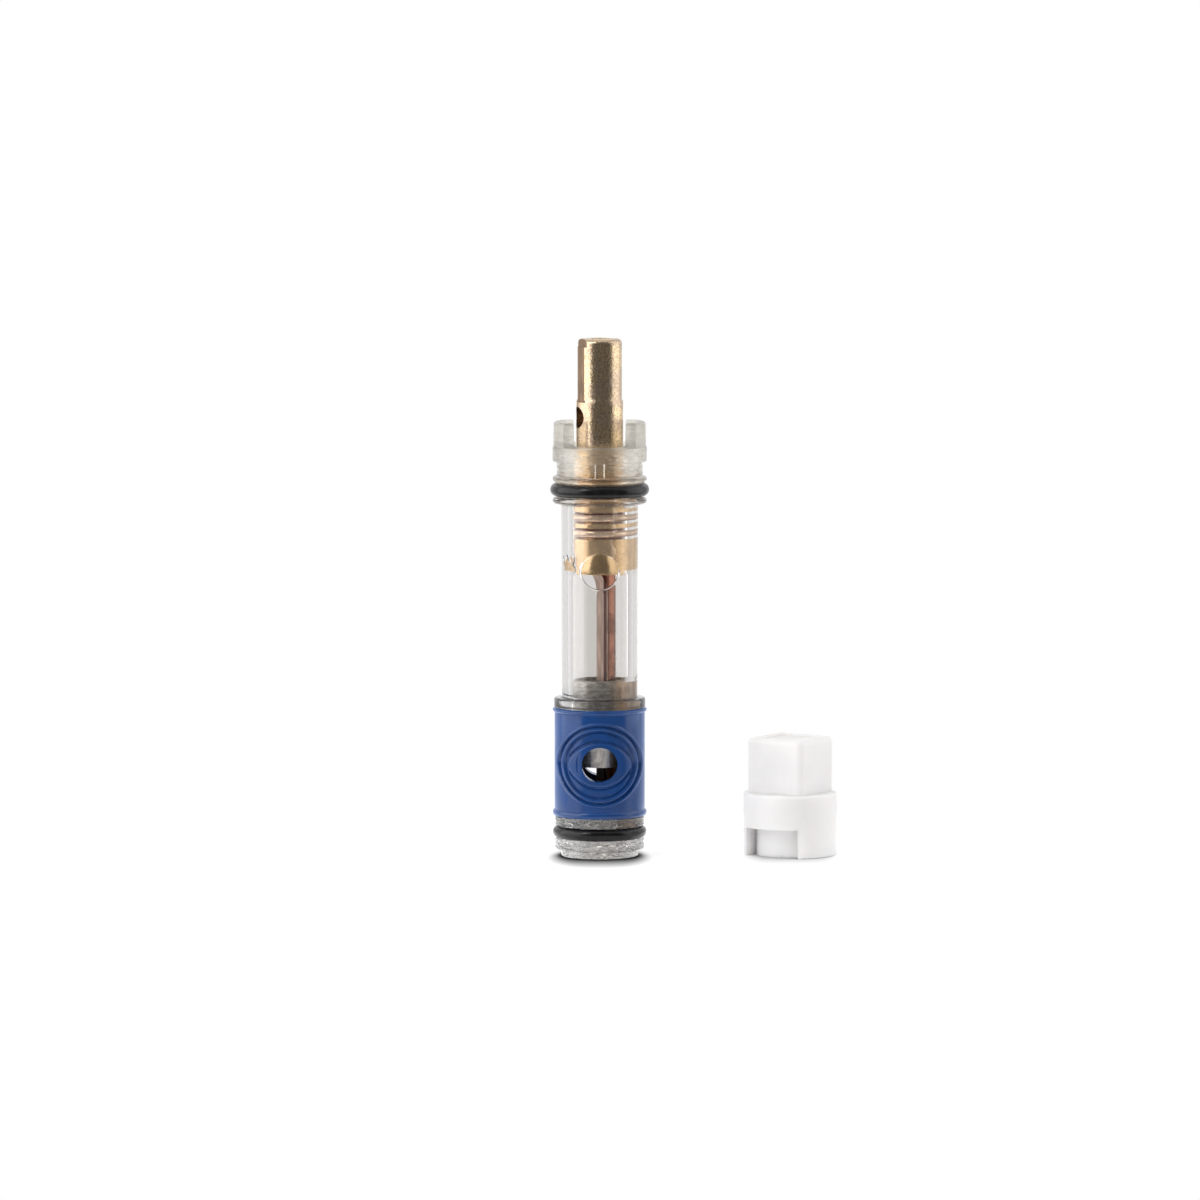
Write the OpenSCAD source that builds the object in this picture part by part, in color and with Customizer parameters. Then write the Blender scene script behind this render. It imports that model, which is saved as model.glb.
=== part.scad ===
// Lift-and-turn tap cartridge with its turning cap, millimetres, +Z up along the stem.
// The origin is the centre of the foot's lower face. The ports face -Y and +Y.
// The stem is drawn part lifted, so that its windows stand half across the ports.

/* [Sleeve] */
// Radius of the foot that centres the cartridge in its body
foot_r = 7.75; // [7.2:0.05:8.5]
// Height of the foot
foot_h = 1.5; // [0.8:0.1:3]
// Radius of the two rings round the lower O-ring
base_ring_r = 9.0; // [8.6:0.05:9.3]
// Height of the ring under the lower O-ring
base_ring_h = 2.1; // [1.4:0.1:4]
// Height of the lower O-ring's groove
lower_groove_h = 2.6; // [2.45:0.05:3.4]
// Height of the land between the lower O-ring and the port seal
land_h = 1.9; // [1:0.1:4]
// Height of the port seal's seat
seat_h = 21.9; // [20:0.1:26]
// Radius of the port seal's seat
seat_r = 7.5; // [7.2:0.05:7.9]
// Radius of the shoulder over the port seal
shoulder_r = 9.15; // [8.8:0.05:9.4]
// Height of the shoulder over the port seal
shoulder_h = 2.0; // [1.2:0.1:4]
// Radius of the clear tube at the shoulder
tube_bottom_r = 7.55; // [7.3:0.05:7.9]
// Radius of the clear tube at the gland
tube_top_r = 7.7; // [7.3:0.05:8.2]
// Height of the clear tube between shoulder and gland
tube_h = 39.0; // [38:0.5:48]
// Radius of the bore that the piston and the spool run in
bore_r = 5.5; // [5.4:0.01:5.6]
// Radius of the round water outlet in the tube
outlet_r = 3.6; // [2.5:0.1:3.8]
// Height of the outlet's centre over the shoulder
outlet_up = 25.7; // [24:0.1:26]

/* [Gland] */
// Radius of the two thin flanges round the upper O-ring
gland_r = 9.45; // [9:0.05:9.7]
// Thickness of each thin flange
flange_h = 1.25; // [0.8:0.05:2]
// Height of the upper O-ring's groove
upper_groove_h = 3.05; // [2.7:0.05:4]
// Radius of the neck that the retaining clip grips
neck_r = 8.6; // [8:0.05:9]
// Height of the neck
neck_h = 2.9; // [2:0.1:5]
// Width of the rib down the front and the back of the neck
neck_rib_w = 1.4; // [0.8:0.1:3]
// How far the neck's ribs stand out
neck_rib_out = 0.45; // [0.2:0.05:0.6]
// Radius of the collar over the neck
collar_r = 9.45; // [9:0.05:9.6]
// Height of the collar
collar_h = 2.95; // [2:0.05:5]

/* [Ears] */
// Outer radius of the two ears
ear_r = 9.25; // [9:0.05:9.4]
// Wall thickness of the ears
ear_wall = 1.55; // [1:0.05:2]
// Width of the ears from front to back
ear_w = 11.4; // [8:0.1:12]
// Height of the ears over the collar
ear_h = 5.0; // [3:0.1:5.2]
// Radius of the rounding along the top edges of the ears
ear_round = 0.45; // [0.2:0.05:0.7]
// Radius of the fillet inside the foot of the ears
ear_fillet = 0.9; // [0.3:0.1:1]

/* [O-rings] */
// Section diameter of the upper body O-ring
upper_ring_d = 2.62; // [2.3:0.02:2.66]
// Section diameter of the lower body O-ring
lower_ring_d = 2.4; // [2:0.02:2.42]
// Outer radius of the upper body O-ring
upper_ring_r = 9.92; // [9.6:0.02:10.2]
// Outer radius of the lower body O-ring
lower_ring_r = 9.42; // [9.1:0.02:9.7]
// Section diameter of the two piston O-rings
piston_ring_d = 1.78; // [1.6:0.02:1.9]

/* [Port seal] */
// Outer radius of the seal's body
seal_r = 9.05; // [8.8:0.05:9.2]
// Radius of the water ports through the seal
port_r = 3.58; // [2.5:0.02:3.8]
// Height of the ports' centre over the seal's lower edge
port_up = 11.0; // [10:0.1:12]
// Outer radius of the lip that lines each hole in the sleeve
lip_r = 4.8; // [4.4:0.05:5.2]
// How far the ridges stand out of the seal's body
ridge_out = 0.3; // [0.1:0.05:0.4]
// Radius of the outermost ridge round a port
ridge_r = 8.65; // [8:0.05:8.8]
// Width of each round ridge
ridge_w = 0.7; // [0.4:0.05:0.9]
// Groove between the two round ridges
ridge_gap = 0.35; // [0.2:0.05:0.6]
// Half length of the pointed ridge next to the port
lens_x = 6.3; // [5.6:0.1:6.6]
// Half height of the pointed ridge next to the port
lens_z = 4.45; // [4.3:0.05:5]
// Height of the bead along the seal's lower edge
lower_bead_h = 1.3; // [0.8:0.1:1.8]
// Height of the bead along the seal's upper edge
upper_bead_h = 0.8; // [0.5:0.1:1.5]

/* [Stem] */
// Radius of the stem in the gland
stem_r = 4.7; // [4.5:0.05:4.9]
// Radius of the stem's end, which carries the handle
stem_end_r = 4.45; // [4.2:0.05:4.45]
// Height of the stem from the piston to the start of its end
stem_lower_h = 20.4; // [19:0.1:24]
// Height of the stem's end
stem_end_h = 12.2; // [12:0.1:16]
// Rounding at the stem's top edge
stem_round = 0.9; // [0.3:0.1:1.2]
// Distance of the long flat from the axis
flat_at = 3.98; // [3.6:0.02:4.1]
// Distance of the short top flat from the axis
notch_at = 3.65; // [3.3:0.05:3.9]
// Height of the short top flat
notch_h = 1.6; // [1:0.1:3]
// Side that the flats and the cross hole face
flat_turn = 200; // [0:5:360]
// Radius of the cross hole
cross_hole_r = 2.15; // [1.5:0.05:2.3]
// Height of the cross hole over the piston
cross_hole_up = 16.9; // [16:0.1:17.5]
// Radius of the tapped hole for the handle screw
screw_hole_r = 1.9; // [1.5:0.05:2.1]
// Depth of the tapped hole
screw_hole_deep = 11.5; // [6:0.5:12]
// Radius of the piston
piston_r = 5.25; // [5.1:0.01:5.3]
// Height of the piston
piston_h = 14.5; // [14:0.1:16]
// Height of the lower piston O-ring's middle over the piston's lower face
lower_ring_up = 8.3; // [7.5:0.1:8.6]
// Distance between the two piston O-rings
ring_pitch = 3.15; // [2.8:0.05:3.6]
// Length of the socket under the piston for the rod
socket_h = 5; // [3:0.5:6]

/* [Rod] */
// Radius of the round bar that the rod is cut from
rod_r = 3.2; // [2.6:0.1:3.4]
// How far the rod's flat lies past the axis
rod_cut = 0.44; // [0.2:0.02:0.6]
// Radius of the cutter that leaves the flat's run-out
rod_runout_r = 5.5; // [4:0.1:8]
// Radius of the tenon that is riveted in the spool's floor
tenon_r = 1.1; // [0.8:0.05:1.2]

/* [Spool] */
// Radius of the spool
spool_r = 5.42; // [5.3:0.01:5.45]
// Wall thickness of the spool
spool_wall = 0.8; // [0.6:0.05:1]
// Thickness of the spool's floor
spool_floor = 1.5; // [1:0.1:2]
// Length of the spool
spool_h = 32.4; // [32:0.1:34.5]
// Rounding of the spool's upper rim
spool_round = 0.6; // [0.2:0.05:0.7]
// Width of each window straight across
window_w = 7.2; // [5:0.1:8]
// Height of each window
window_h = 7.8; // [7.7:0.1:8.6]
// Corner radius of the windows
window_round = 1.0; // [0.5:0.1:1.5]
// Width of the small tab on the spool's rim
rim_tab_w = 1.3; // [0.8:0.1:2]
// Height of the small tab on the spool's rim
rim_tab_h = 0.45; // [0.2:0.05:0.6]

/* [Stroke] */
// Full travel of the stem from shut to fully lifted
stroke = 7.6; // [7.5:0.1:7.8]
// How far the stem is drawn lifted from shut
lifted = 3.0; // [0:0.1:7.4]
// Height of the spool's lower end over the foot when it is shut
spool_up = 0.3; // [0.2:0.1:1]

/* [Turning cap] */
// Distance of the cap from the cartridge, to the right
cap_x = 38.3; // [24:0.1:60]
// Distance of the cap from the cartridge, to the back
cap_y = 2.0; // [-20:0.5:20]
// Turn of the cap about its own axis
cap_turn = 238; // [0:0.5:360]
// Radius of the round skirt
skirt_r = 9.4; // [9.3:0.05:9.8]
// Height of the round skirt
skirt_h = 12.6; // [10:0.1:16]
// Width of the square head
head_w = 13.1; // [12.4:0.1:13.3]
// Height of the square head
head_h = 11.2; // [10:0.1:16]
// Radius of the head's upright corners
head_corner = 1.5; // [1.4:0.1:2.5]
// Radius of the rounding round the head's top
head_round = 1.1; // [0.6:0.1:1.3]
// Depth of the dish in the head's top
dish_deep = 0.45; // [0.2:0.05:0.8]
// Width of the rim round the dish
dish_rim = 1.9; // [1.5:0.1:2.5]
// Radius of the hub left between the two recesses
hub_r = 6.7; // [6.1:0.05:6.8]
// Room over the ears in each recess
recess_spare = 0.8; // [0.3:0.1:2]
// Thickness of the cap's top
cap_top = 1.4; // [1:0.1:2]

/* [Clearances] */
// Running clearance between the stem and its guide
guide_clear = 0.08; // [0.05:0.01:0.1]
// Clearance of the rubber parts in their seats
seat_clear = 0.05; // [0.02:0.01:0.08]
// Clearance of the piston O-rings in the bore and on the piston
ring_clear = 0.04; // [0.02:0.01:0.05]
// Clearance between the piston's top and its stop when fully lifted
stop_clear = 0.1; // [0.05:0.05:0.5]
// How far the windows lie below the ports when the stem is shut
shut_lap = 0.3; // [0.1:0.1:0.5]
// Clearance of the cap round the stem and beside the ears
cap_clear = 0.35; // [0.2:0.05:0.6]

/* [Hidden] */
$fn = 96;
// A cut runs this far past the face it opens
over = 1;
// Fillets and small roundings of the moulded sleeve
small_round = 0.45;
// Depth by which each groove's floor lies under its O-ring
lower_groove_r = lower_ring_r - lower_ring_d - seat_clear;
upper_groove_r = upper_ring_r - upper_ring_d - seat_clear;

// Levels of the sleeve, each from the one below it
base_ring_top = foot_h + base_ring_h;
lower_groove_top = base_ring_top + lower_groove_h;
land_top = lower_groove_top + land_h;
seat_top = land_top + seat_h;
shoulder_top = seat_top + shoulder_h;
tube_top = shoulder_top + tube_h;
lower_flange_top = tube_top + flange_h;
upper_groove_top = lower_flange_top + upper_groove_h;
upper_flange_top = upper_groove_top + flange_h;
neck_top = upper_flange_top + neck_h;
collar_top = neck_top + collar_h;

// Levels of the moving parts, lifted as drawn
port_z = land_top + port_up;
outlet_z = shoulder_top + outlet_up;
window_top = port_z - port_r - shut_lap + lifted;
spool_z = spool_up + lifted;
spool_top = spool_z + spool_h;
stop_z = outlet_z + outlet_r - lower_ring_up + piston_ring_d / 2 + piston_h + stroke + stop_clear;
piston_top = stop_z - stop_clear - stroke + lifted;
piston_z = piston_top - piston_h;
stem_end_z = piston_top + stem_lower_h;
stem_top = stem_end_z + stem_end_h;
ring_groove_h = piston_ring_d + 0.4;
ring_r = bore_r - ring_clear;
ring_groove_r = ring_r - piston_ring_d - ring_clear;
lower_ring_z = piston_z + lower_ring_up;
upper_ring_z = lower_ring_z + ring_pitch;
piston_chamfer = 0.35;

// The cap's recesses take the ears, and its bore takes the stem
recess_w = ear_w + 2 * cap_clear;
recess_h = ear_h + recess_spare;
cap_bore_r = stem_r + cap_clear;

// Rectangle of the half section, from the axis out to r, between two levels
module step(r, low, high) {
    translate([0, low]) square([r, high - low]);
}

// Half section of a thin flange whose rim is fully round
module round_flange(r, low, high) {
    rim = (high - low) / 2;
    step(r - rim, low, high);
    translate([r - rim, low + rim]) circle(rim);
}

// Half section of a step whose upper outer corner is rounded
module rounded_step(r, low, high, corner) {
    step(r - corner, low, high);
    step(r, low, high - corner);
    translate([r - corner, high - corner]) intersection() {
        circle(corner);
        square(corner);
    }
}

// Half section of the fillet in the corner over a face, against a wall at r
module fillet(r, level, size) {
    difference() {
        translate([r - 0.05, level]) square([size + 0.05, size]);
        translate([r + size, level + size]) circle(size);
    }
}

// Rectangle with round corners, centred
module round_rect(w, h, corner) {
    square([w - 2 * corner, h], center = true);
    square([w, h - 2 * corner], center = true);
    for (x = [-1, 1], z = [-1, 1])
        translate([x * (w / 2 - corner), z * (h / 2 - corner)]) circle(corner);
}

// Bar along Y through the whole cartridge, of a radius and at a height
module cross_bar(r, level) {
    translate([0, 0, level]) rotate([90, 0, 0]) cylinder(r = r, h = 4 * gland_r, center = true);
}

// Outline on the XZ plane, pushed through the cartridge along Y at a height
module cross_outline(level) {
    translate([0, 0, level]) rotate([90, 0, 0]) linear_extrude(4 * gland_r, center = true) children();
}

module o_ring(outer_r, section_d, level) {
    translate([0, 0, level]) rotate_extrude()
        translate([outer_r - section_d / 2, 0]) circle(section_d / 2, $fn = 48);
}

module sleeve_section() {
    step(foot_r, 0, foot_h);
    rounded_step(base_ring_r, foot_h + small_round, base_ring_top, small_round);
    round_flange(base_ring_r, foot_h, foot_h + 2 * small_round);
    step(lower_groove_r, base_ring_top, lower_groove_top);
    rounded_step(base_ring_r, lower_groove_top, land_top, small_round / 2);
    step(seat_r, land_top, seat_top);
    rounded_step(shoulder_r, seat_top, shoulder_top, small_round);
    polygon([[0, shoulder_top], [tube_bottom_r, shoulder_top], [tube_top_r, tube_top], [0, tube_top]]);
    fillet(tube_bottom_r, shoulder_top, small_round);
    round_flange(gland_r, tube_top, lower_flange_top);
    step(upper_groove_r, lower_flange_top, upper_groove_top);
    round_flange(gland_r, upper_groove_top, upper_flange_top);
    step(neck_r, upper_flange_top, neck_top);
    rounded_step(collar_r, neck_top, collar_top, small_round / 2);
}

// Two ears on the left and the right, parts of one ring with round top edges
module ears() {
    ear_top = collar_top + ear_h;
    intersection() {
        rotate_extrude() translate([ear_r - ear_wall, collar_top]) {
            translate([0, -small_round]) square([ear_wall, ear_h + small_round - ear_round]);
            translate([ear_round, 0]) square([ear_wall - 2 * ear_round, ear_h]);
            for (x = [ear_round, ear_wall - ear_round])
                translate([x, ear_h - ear_round]) circle(ear_round);
            difference() {
                translate([-ear_fillet, -small_round]) square(ear_fillet + small_round);
                translate([-ear_fillet, ear_fillet]) circle(ear_fillet);
            }
        }
        translate([-2 * ear_r, -ear_w / 2, 0]) cube([4 * ear_r, ear_w, ear_top + over]);
    }
}

module neck_ribs() {
    rib_r = neck_r + neck_rib_out;
    intersection() {
        translate([0, 0, upper_flange_top - small_round]) cylinder(r = rib_r, h = neck_h + 2 * small_round);
        translate([-neck_rib_w / 2, -2 * rib_r, 0]) cube([neck_rib_w, 4 * rib_r, collar_top]);
    }
}

module sleeve() {
    color("WhiteSmoke", 0.45) difference() {
        union() {
            rotate_extrude() sleeve_section();
            ears();
            neck_ribs();
        }
        translate([0, 0, -over]) cylinder(r = bore_r, h = stop_z + over);
        cylinder(r = stem_r + guide_clear, h = collar_top + over);
        cross_bar(lip_r + seat_clear, port_z);
        translate([0, 0, outlet_z]) rotate([90, 0, 0]) cylinder(r = outlet_r, h = 2 * gland_r);
    }
}

module upper_body_o_ring() {
    color("#18181a") o_ring(upper_ring_r, upper_ring_d, (lower_flange_top + upper_groove_top) / 2);
}

module lower_body_o_ring() {
    color("#18181a") o_ring(lower_ring_r, lower_ring_d, (base_ring_top + lower_groove_top) / 2);
}

// Outline where two equal arcs meet in a point on the left and on the right
module lens(half_x, half_z) {
    arc_r = (half_x * half_x + half_z * half_z) / (2 * half_z);
    intersection_for (side = [-1, 1]) translate([0, side * (arc_r - half_z)]) circle(arc_r);
}

module round_ridge(r) {
    difference() {
        circle(r);
        circle(r - ridge_w);
    }
}

module port_ridges() {
    round_ridge(ridge_r);
    round_ridge(ridge_r - ridge_w - ridge_gap);
    difference() {
        lens(lens_x, lens_z);
        circle(port_r);
    }
}

// Ribbed rubber band with a lip that lines each hole in the sleeve
module port_seal() {
    low = land_top + seat_clear;
    high = seat_top - seat_clear;
    crest_r = seal_r + ridge_out;
    color("#2a4fb0") difference() {
        union() {
            rotate_extrude() {
                step(seal_r, low, high);
                round_flange(crest_r, low, low + lower_bead_h);
                round_flange(crest_r, high - upper_bead_h, high);
            }
            intersection() {
                cross_outline(port_z) port_ridges();
                translate([0, 0, low]) cylinder(r = crest_r, h = high - low);
            }
        }
        difference() {
            translate([0, 0, low - over]) cylinder(r = seat_r + seat_clear, h = high - low + 2 * over);
            cross_bar(lip_r, port_z);
        }
        translate([0, 0, low - over]) cylinder(r = bore_r + seat_clear, h = high - low + 2 * over);
        cross_bar(port_r, port_z);
    }
}

// Half section of the stem, its piston and the piston's two ring grooves
module stem_section() {
    difference() {
        union() {
            step(piston_r - piston_chamfer, piston_z, piston_top);
            step(piston_r, piston_z + piston_chamfer, piston_top - piston_chamfer);
            for (z = [piston_z + piston_chamfer, piston_top - piston_chamfer])
                translate([piston_r - piston_chamfer, z]) circle(piston_chamfer);
            step(stem_r, piston_top, stem_end_z);
            rounded_step(stem_end_r, stem_end_z, stem_top, stem_round);
        }
        for (z = [lower_ring_z, upper_ring_z])
            translate([ring_groove_r, z - ring_groove_h / 2]) square([piston_r, ring_groove_h]);
        translate([0, piston_z - over]) square([rod_r + seat_clear, socket_h + over]);
        translate([0, stem_top - screw_hole_deep]) square([screw_hole_r, screw_hole_deep + over]);
    }
}

// Block beyond a flat at a distance from the axis, from a level up past the stem's end
module flat_cut(distance, level) {
    translate([distance, -stem_r, level]) cube([stem_r, 2 * stem_r, stem_end_h + over]);
}

module stem() {
    color("#c9a45c") difference() {
        rotate_extrude() stem_section();
        rotate([0, 0, flat_turn]) {
            flat_cut(flat_at, stem_end_z - small_round);
            flat_cut(notch_at, stem_top - notch_h);
            translate([0, 0, piston_top + cross_hole_up]) rotate([0, 90, 0])
                cylinder(r = cross_hole_r, h = 4 * stem_r, center = true);
        }
    }
}

// Half-round bar under the piston, whose flat runs out in the cutter's curve
module connecting_rod() {
    floor_z = spool_z + spool_floor;
    runout_z = piston_z - 2 * rod_runout_r / 3;
    cut_top = runout_z - floor_z;
    color("#b06a4c") {
        difference() {
            translate([0, 0, floor_z]) cylinder(r = rod_r, h = piston_z + socket_h - floor_z);
            rotate([0, 0, flat_turn]) {
                translate([-rod_cut, -2 * rod_r, floor_z - over])
                    cube([2 * rod_r, 4 * rod_r, cut_top + over]);
                translate([rod_runout_r - rod_cut, 0, runout_z]) rotate([90, 0, 0])
                    cylinder(r = rod_runout_r, h = 4 * rod_r, center = true);
            }
        }
        rotate([0, 0, flat_turn]) translate([-(rod_r + rod_cut) / 2, 0, spool_z])
            cylinder(r = tenon_r, h = spool_floor + small_round);
    }
}

// Small tab that stands on the spool's rim
module rim_tab() {
    tab_turn = -23;
    rotate([0, 0, tab_turn]) translate([0, 0, spool_top - small_round]) intersection() {
        cylinder(r = spool_r - spool_round / 2, h = small_round + rim_tab_h);
        translate([0, -rim_tab_w / 2, 0]) cube([spool_r, rim_tab_w, small_round + rim_tab_h]);
    }
}

// Open-topped cup with a window towards each port and a floor that holds the rod
module spool() {
    color("#8d8d8a") difference() {
        union() {
            rotate_extrude() rounded_step(spool_r, spool_z, spool_top, spool_round);
            rim_tab();
        }
        translate([0, 0, spool_z + spool_floor]) cylinder(r = spool_r - spool_wall, h = spool_h);
        cross_outline(window_top - window_h / 2) round_rect(window_w, window_h, window_round);
        rotate([0, 0, flat_turn]) translate([-(rod_r + rod_cut) / 2, 0, spool_z - over])
            cylinder(r = tenon_r + 0.02, h = spool_floor + 2 * over);
    }
}

module upper_piston_o_ring() {
    color("#7d3a26") o_ring(ring_r, piston_ring_d, upper_ring_z);
}

module lower_piston_o_ring() {
    color("#7d3a26") o_ring(ring_r, piston_ring_d, lower_ring_z);
}

// Square head: a round peg at each corner and two crossed bars, all with the same top rounding
module cap_head() {
    low = skirt_h - small_round;
    high = skirt_h + head_h;
    inset = head_w / 2 - head_corner;
    for (x = [-inset, inset], y = [-inset, inset])
        translate([x, y, 0]) rotate_extrude() rounded_step(head_corner, low, high, head_round);
    for (turn = [0, 90]) rotate([90, 0, turn]) linear_extrude(2 * inset, center = true)
        for (side = [0, 1]) mirror([side, 0]) rounded_step(head_w / 2, low, high, head_round);
}

// Cap that drops over the stem: its recesses take the ears and turn the cartridge
module turning_cap() {
    top = skirt_h + head_h;
    color("#f2f2f0") translate([cap_x, cap_y, 0]) rotate([0, 0, cap_turn]) difference() {
        union() {
            rotate_extrude() rounded_step(skirt_r, 0, skirt_h, small_round);
            cap_head();
        }
        translate([0, 0, -over]) cylinder(r = cap_bore_r, h = top - cap_top - dish_deep + over);
        difference() {
            translate([-2 * skirt_r, -recess_w / 2, -over])
                cube([4 * skirt_r, recess_w, recess_h + over]);
            cylinder(r = hub_r, h = recess_h);
        }
        translate([0, 0, top - dish_deep]) linear_extrude(dish_deep + over)
            round_rect(head_w - 2 * dish_rim, head_w - 2 * dish_rim, head_corner);
    }
}

sleeve();
upper_body_o_ring();
lower_body_o_ring();
port_seal();
stem();
connecting_rod();
spool();
upper_piston_o_ring();
lower_piston_o_ring();
turning_cap();
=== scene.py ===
"""Lift-and-turn tap cartridge and its loose turning cap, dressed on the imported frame.

Profiles are worked out in millimetres as (radius, height) pairs and become meshes in metres, in the
frame's own axes: +Z along the stem, -Y towards the front port, the origin under the foot.
"""

import math
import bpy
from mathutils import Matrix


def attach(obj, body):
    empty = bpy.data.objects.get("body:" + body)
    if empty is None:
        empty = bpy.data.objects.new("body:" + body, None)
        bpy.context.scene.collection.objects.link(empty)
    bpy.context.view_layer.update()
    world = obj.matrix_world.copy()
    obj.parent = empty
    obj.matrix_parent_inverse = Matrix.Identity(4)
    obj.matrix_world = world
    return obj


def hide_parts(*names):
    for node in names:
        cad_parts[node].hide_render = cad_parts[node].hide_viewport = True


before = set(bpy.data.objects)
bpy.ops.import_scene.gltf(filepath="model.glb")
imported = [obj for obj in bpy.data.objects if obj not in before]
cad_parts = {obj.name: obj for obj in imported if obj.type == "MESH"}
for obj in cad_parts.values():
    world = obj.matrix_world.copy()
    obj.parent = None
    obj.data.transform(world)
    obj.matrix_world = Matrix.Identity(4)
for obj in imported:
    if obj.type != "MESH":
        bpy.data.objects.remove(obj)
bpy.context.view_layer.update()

from types import SimpleNamespace

import bmesh
import bpy
import numpy as np
from mathutils import Vector

bl_info = {
    "name": "Tap cartridge",
    "version": (1, 0, 0),
    "blender": (4, 5, 0),
    "location": "3D View > Sidebar > Cartridge",
    "description": "Builds a lift-and-turn tap cartridge, its turning cap and a pale studio",
    "category": "Object",
}

MM = 0.001
TURN = 2 * math.pi
SHARP_ANGLE = math.radians(35)
WELD = 1e-7

# Turn of the stem's flats from +X, and of the room's darker side from straight ahead
FLAT_TURN = math.radians(200)
FRONT_TURN = math.radians(11.2)

# Columns of points round each kind of surface
CUT_COLUMNS = 96
FINE_CUT_COLUMNS = 144
TURNED_COLUMNS = 192
SLEEVE_COLUMNS = 216
CAP_COLUMNS = 288
SEAL_COLUMNS = 456

# Radius of the floor in millimetres, and the lamps in metres and watts
FLOOR_R = 250
LAMP_AIM = (0, 0, 0.05)
LAMPS = (
    ("left_softbox", (-0.918, -0.149, 0.3), (1.27, 1.1), 7.2),
    ("right_softbox", (0.934, 0.106, 0.3), (0.98, 1.1), 3.0),
    ("top_softbox", (-0.7, -0.72, 1.0), (0.3, 0.3), 2.8),
)

FLOAT = "NodeSocketFloat"
COLOUR = "NodeSocketColor"
VECTOR = "NodeSocketVector"
WHITE = (1, 1, 1)
BLACK = (0, 0, 0)


# Properties

def length(label, millimetres, text):
    """A length that a user may change, given in millimetres and kept in metres."""
    return bpy.props.FloatProperty(
        name=label, description=text, default=millimetres * MM, min=0.0, unit="LENGTH", precision=5)


def colour(label, rgb, text):
    """A surface colour, as plain red, green and blue."""
    return bpy.props.FloatVectorProperty(
        name=label, description=text, default=rgb, size=3, min=0.0, max=1.0, subtype="COLOR")


def in_mm(group):
    """The lengths of a property group in millimetres, and its colours, by name."""
    values = {key: getattr(group, key) for key in group.__annotations__}
    return SimpleNamespace(**{
        key: value / MM if isinstance(value, float) else tuple(value) for key, value in values.items()})


class SleeveSettings(bpy.types.PropertyGroup):
    foot_r: length("Foot radius", 7.75, "Radius of the foot under the lowest ring")
    foot_h: length("Foot height", 1.5, "Height of the foot")
    ring_r: length("Base ring radius", 9.0, "Radius of the rings beside the lower O-ring")
    ring_h: length("Base ring height", 2.1, "Height of the ring under the lower O-ring")
    lower_groove_r: length("Lower groove radius", 6.97, "Radius of the lower groove's floor")
    lower_groove_h: length("Lower groove height", 2.6, "Height of the lower O-ring's groove")
    land_h: length("Land height", 1.9, "Height of the land under the port seal")
    seat_r: length("Seat radius", 7.5, "Radius of the port seal's seat")
    seat_h: length("Seat height", 21.9, "Height of the port seal's seat")
    shoulder_r: length("Shoulder radius", 9.15, "Radius of the shoulder over the port seal")
    shoulder_h: length("Shoulder height", 2.0, "Height of the shoulder")
    tube_low_r: length("Tube radius, lower end", 7.55, "Radius of the clear tube at the shoulder")
    tube_high_r: length("Tube radius, upper end", 7.7, "Radius of the clear tube at the gland")
    tube_h: length("Tube height", 39.0, "Height of the clear tube")
    bore_r: length("Bore radius", 5.5, "Radius of the bore")
    guide_r: length("Guide radius", 4.78, "Radius of the stem's guide above the bore")
    outlet_r: length("Outlet radius", 3.6, "Radius of the water outlet")
    outlet_up: length("Outlet height", 25.7, "Height of the outlet's centre over the shoulder")
    gland_r: length("Gland radius", 9.45, "Radius of the flanges beside the upper O-ring")
    flange_h: length("Flange thickness", 1.25, "Thickness of each gland flange")
    upper_groove_r: length("Upper groove radius", 7.25, "Radius of the upper groove's floor")
    upper_groove_h: length("Upper groove height", 3.05, "Height of the upper O-ring's groove")
    neck_r: length("Neck radius", 8.6, "Radius of the neck")
    neck_h: length("Neck height", 2.9, "Height of the neck")
    rib_w: length("Rib width", 1.4, "Width of the ribs on the neck")
    rib_out: length("Rib height", 0.45, "How far the ribs stand out of the neck")
    collar_r: length("Collar radius", 9.45, "Radius of the collar")
    collar_h: length("Collar height", 2.95, "Height of the collar")
    ear_r: length("Ear radius", 9.25, "Outer radius of the two ears")
    ear_wall: length("Ear wall", 1.55, "Wall thickness of the ears")
    ear_w: length("Ear width", 11.4, "Width of the ears from front to back")
    ear_h: length("Ear height", 5.0, "Height of the ears over the collar")
    tint: colour("Clear plastic", (0.88, 0.865, 0.848), "Tint of the clear plastic")


class SealSettings(bpy.types.PropertyGroup):
    upper_section: length("Upper O-ring section", 2.62, "Section diameter of the upper O-ring")
    upper_r: length("Upper O-ring radius", 9.92, "Outer radius of the upper O-ring")
    lower_section: length("Lower O-ring section", 2.4, "Section diameter of the lower O-ring")
    lower_r: length("Lower O-ring radius", 9.42, "Outer radius of the lower O-ring")
    seal_r: length("Seal radius", 9.05, "Outer radius of the port seal's body")
    inner_r: length("Seal bore", 7.55, "Inner radius of the port seal")
    port_r: length("Port radius", 3.58, "Radius of the water ports")
    port_up: length("Port height", 11.0, "Height of the ports over the seal's lower edge")
    lip_r: length("Lip radius", 4.8, "Outer radius of the lip that lines each hole")
    ridge_out: length("Ridge height", 0.38, "How far the ridges stand out of the seal")
    ridge_r: length("Ridge radius", 8.65, "Outer radius of the outermost round ridge")
    ridge_w: length("Ridge width", 0.7, "Width of each round ridge")
    ridge_gap: length("Ridge gap", 0.35, "Gap between the two round ridges")
    lens_x: length("Pointed ridge length", 6.3, "Half length of the pointed ridge")
    lens_z: length("Pointed ridge height", 4.45, "Half height of the pointed ridge")
    black: colour("Black rubber", (0.005, 0.005, 0.0055), "Colour of the body O-rings")
    blue: colour("Blue rubber", (0.007, 0.05, 0.2), "Colour of the port seal")


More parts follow.
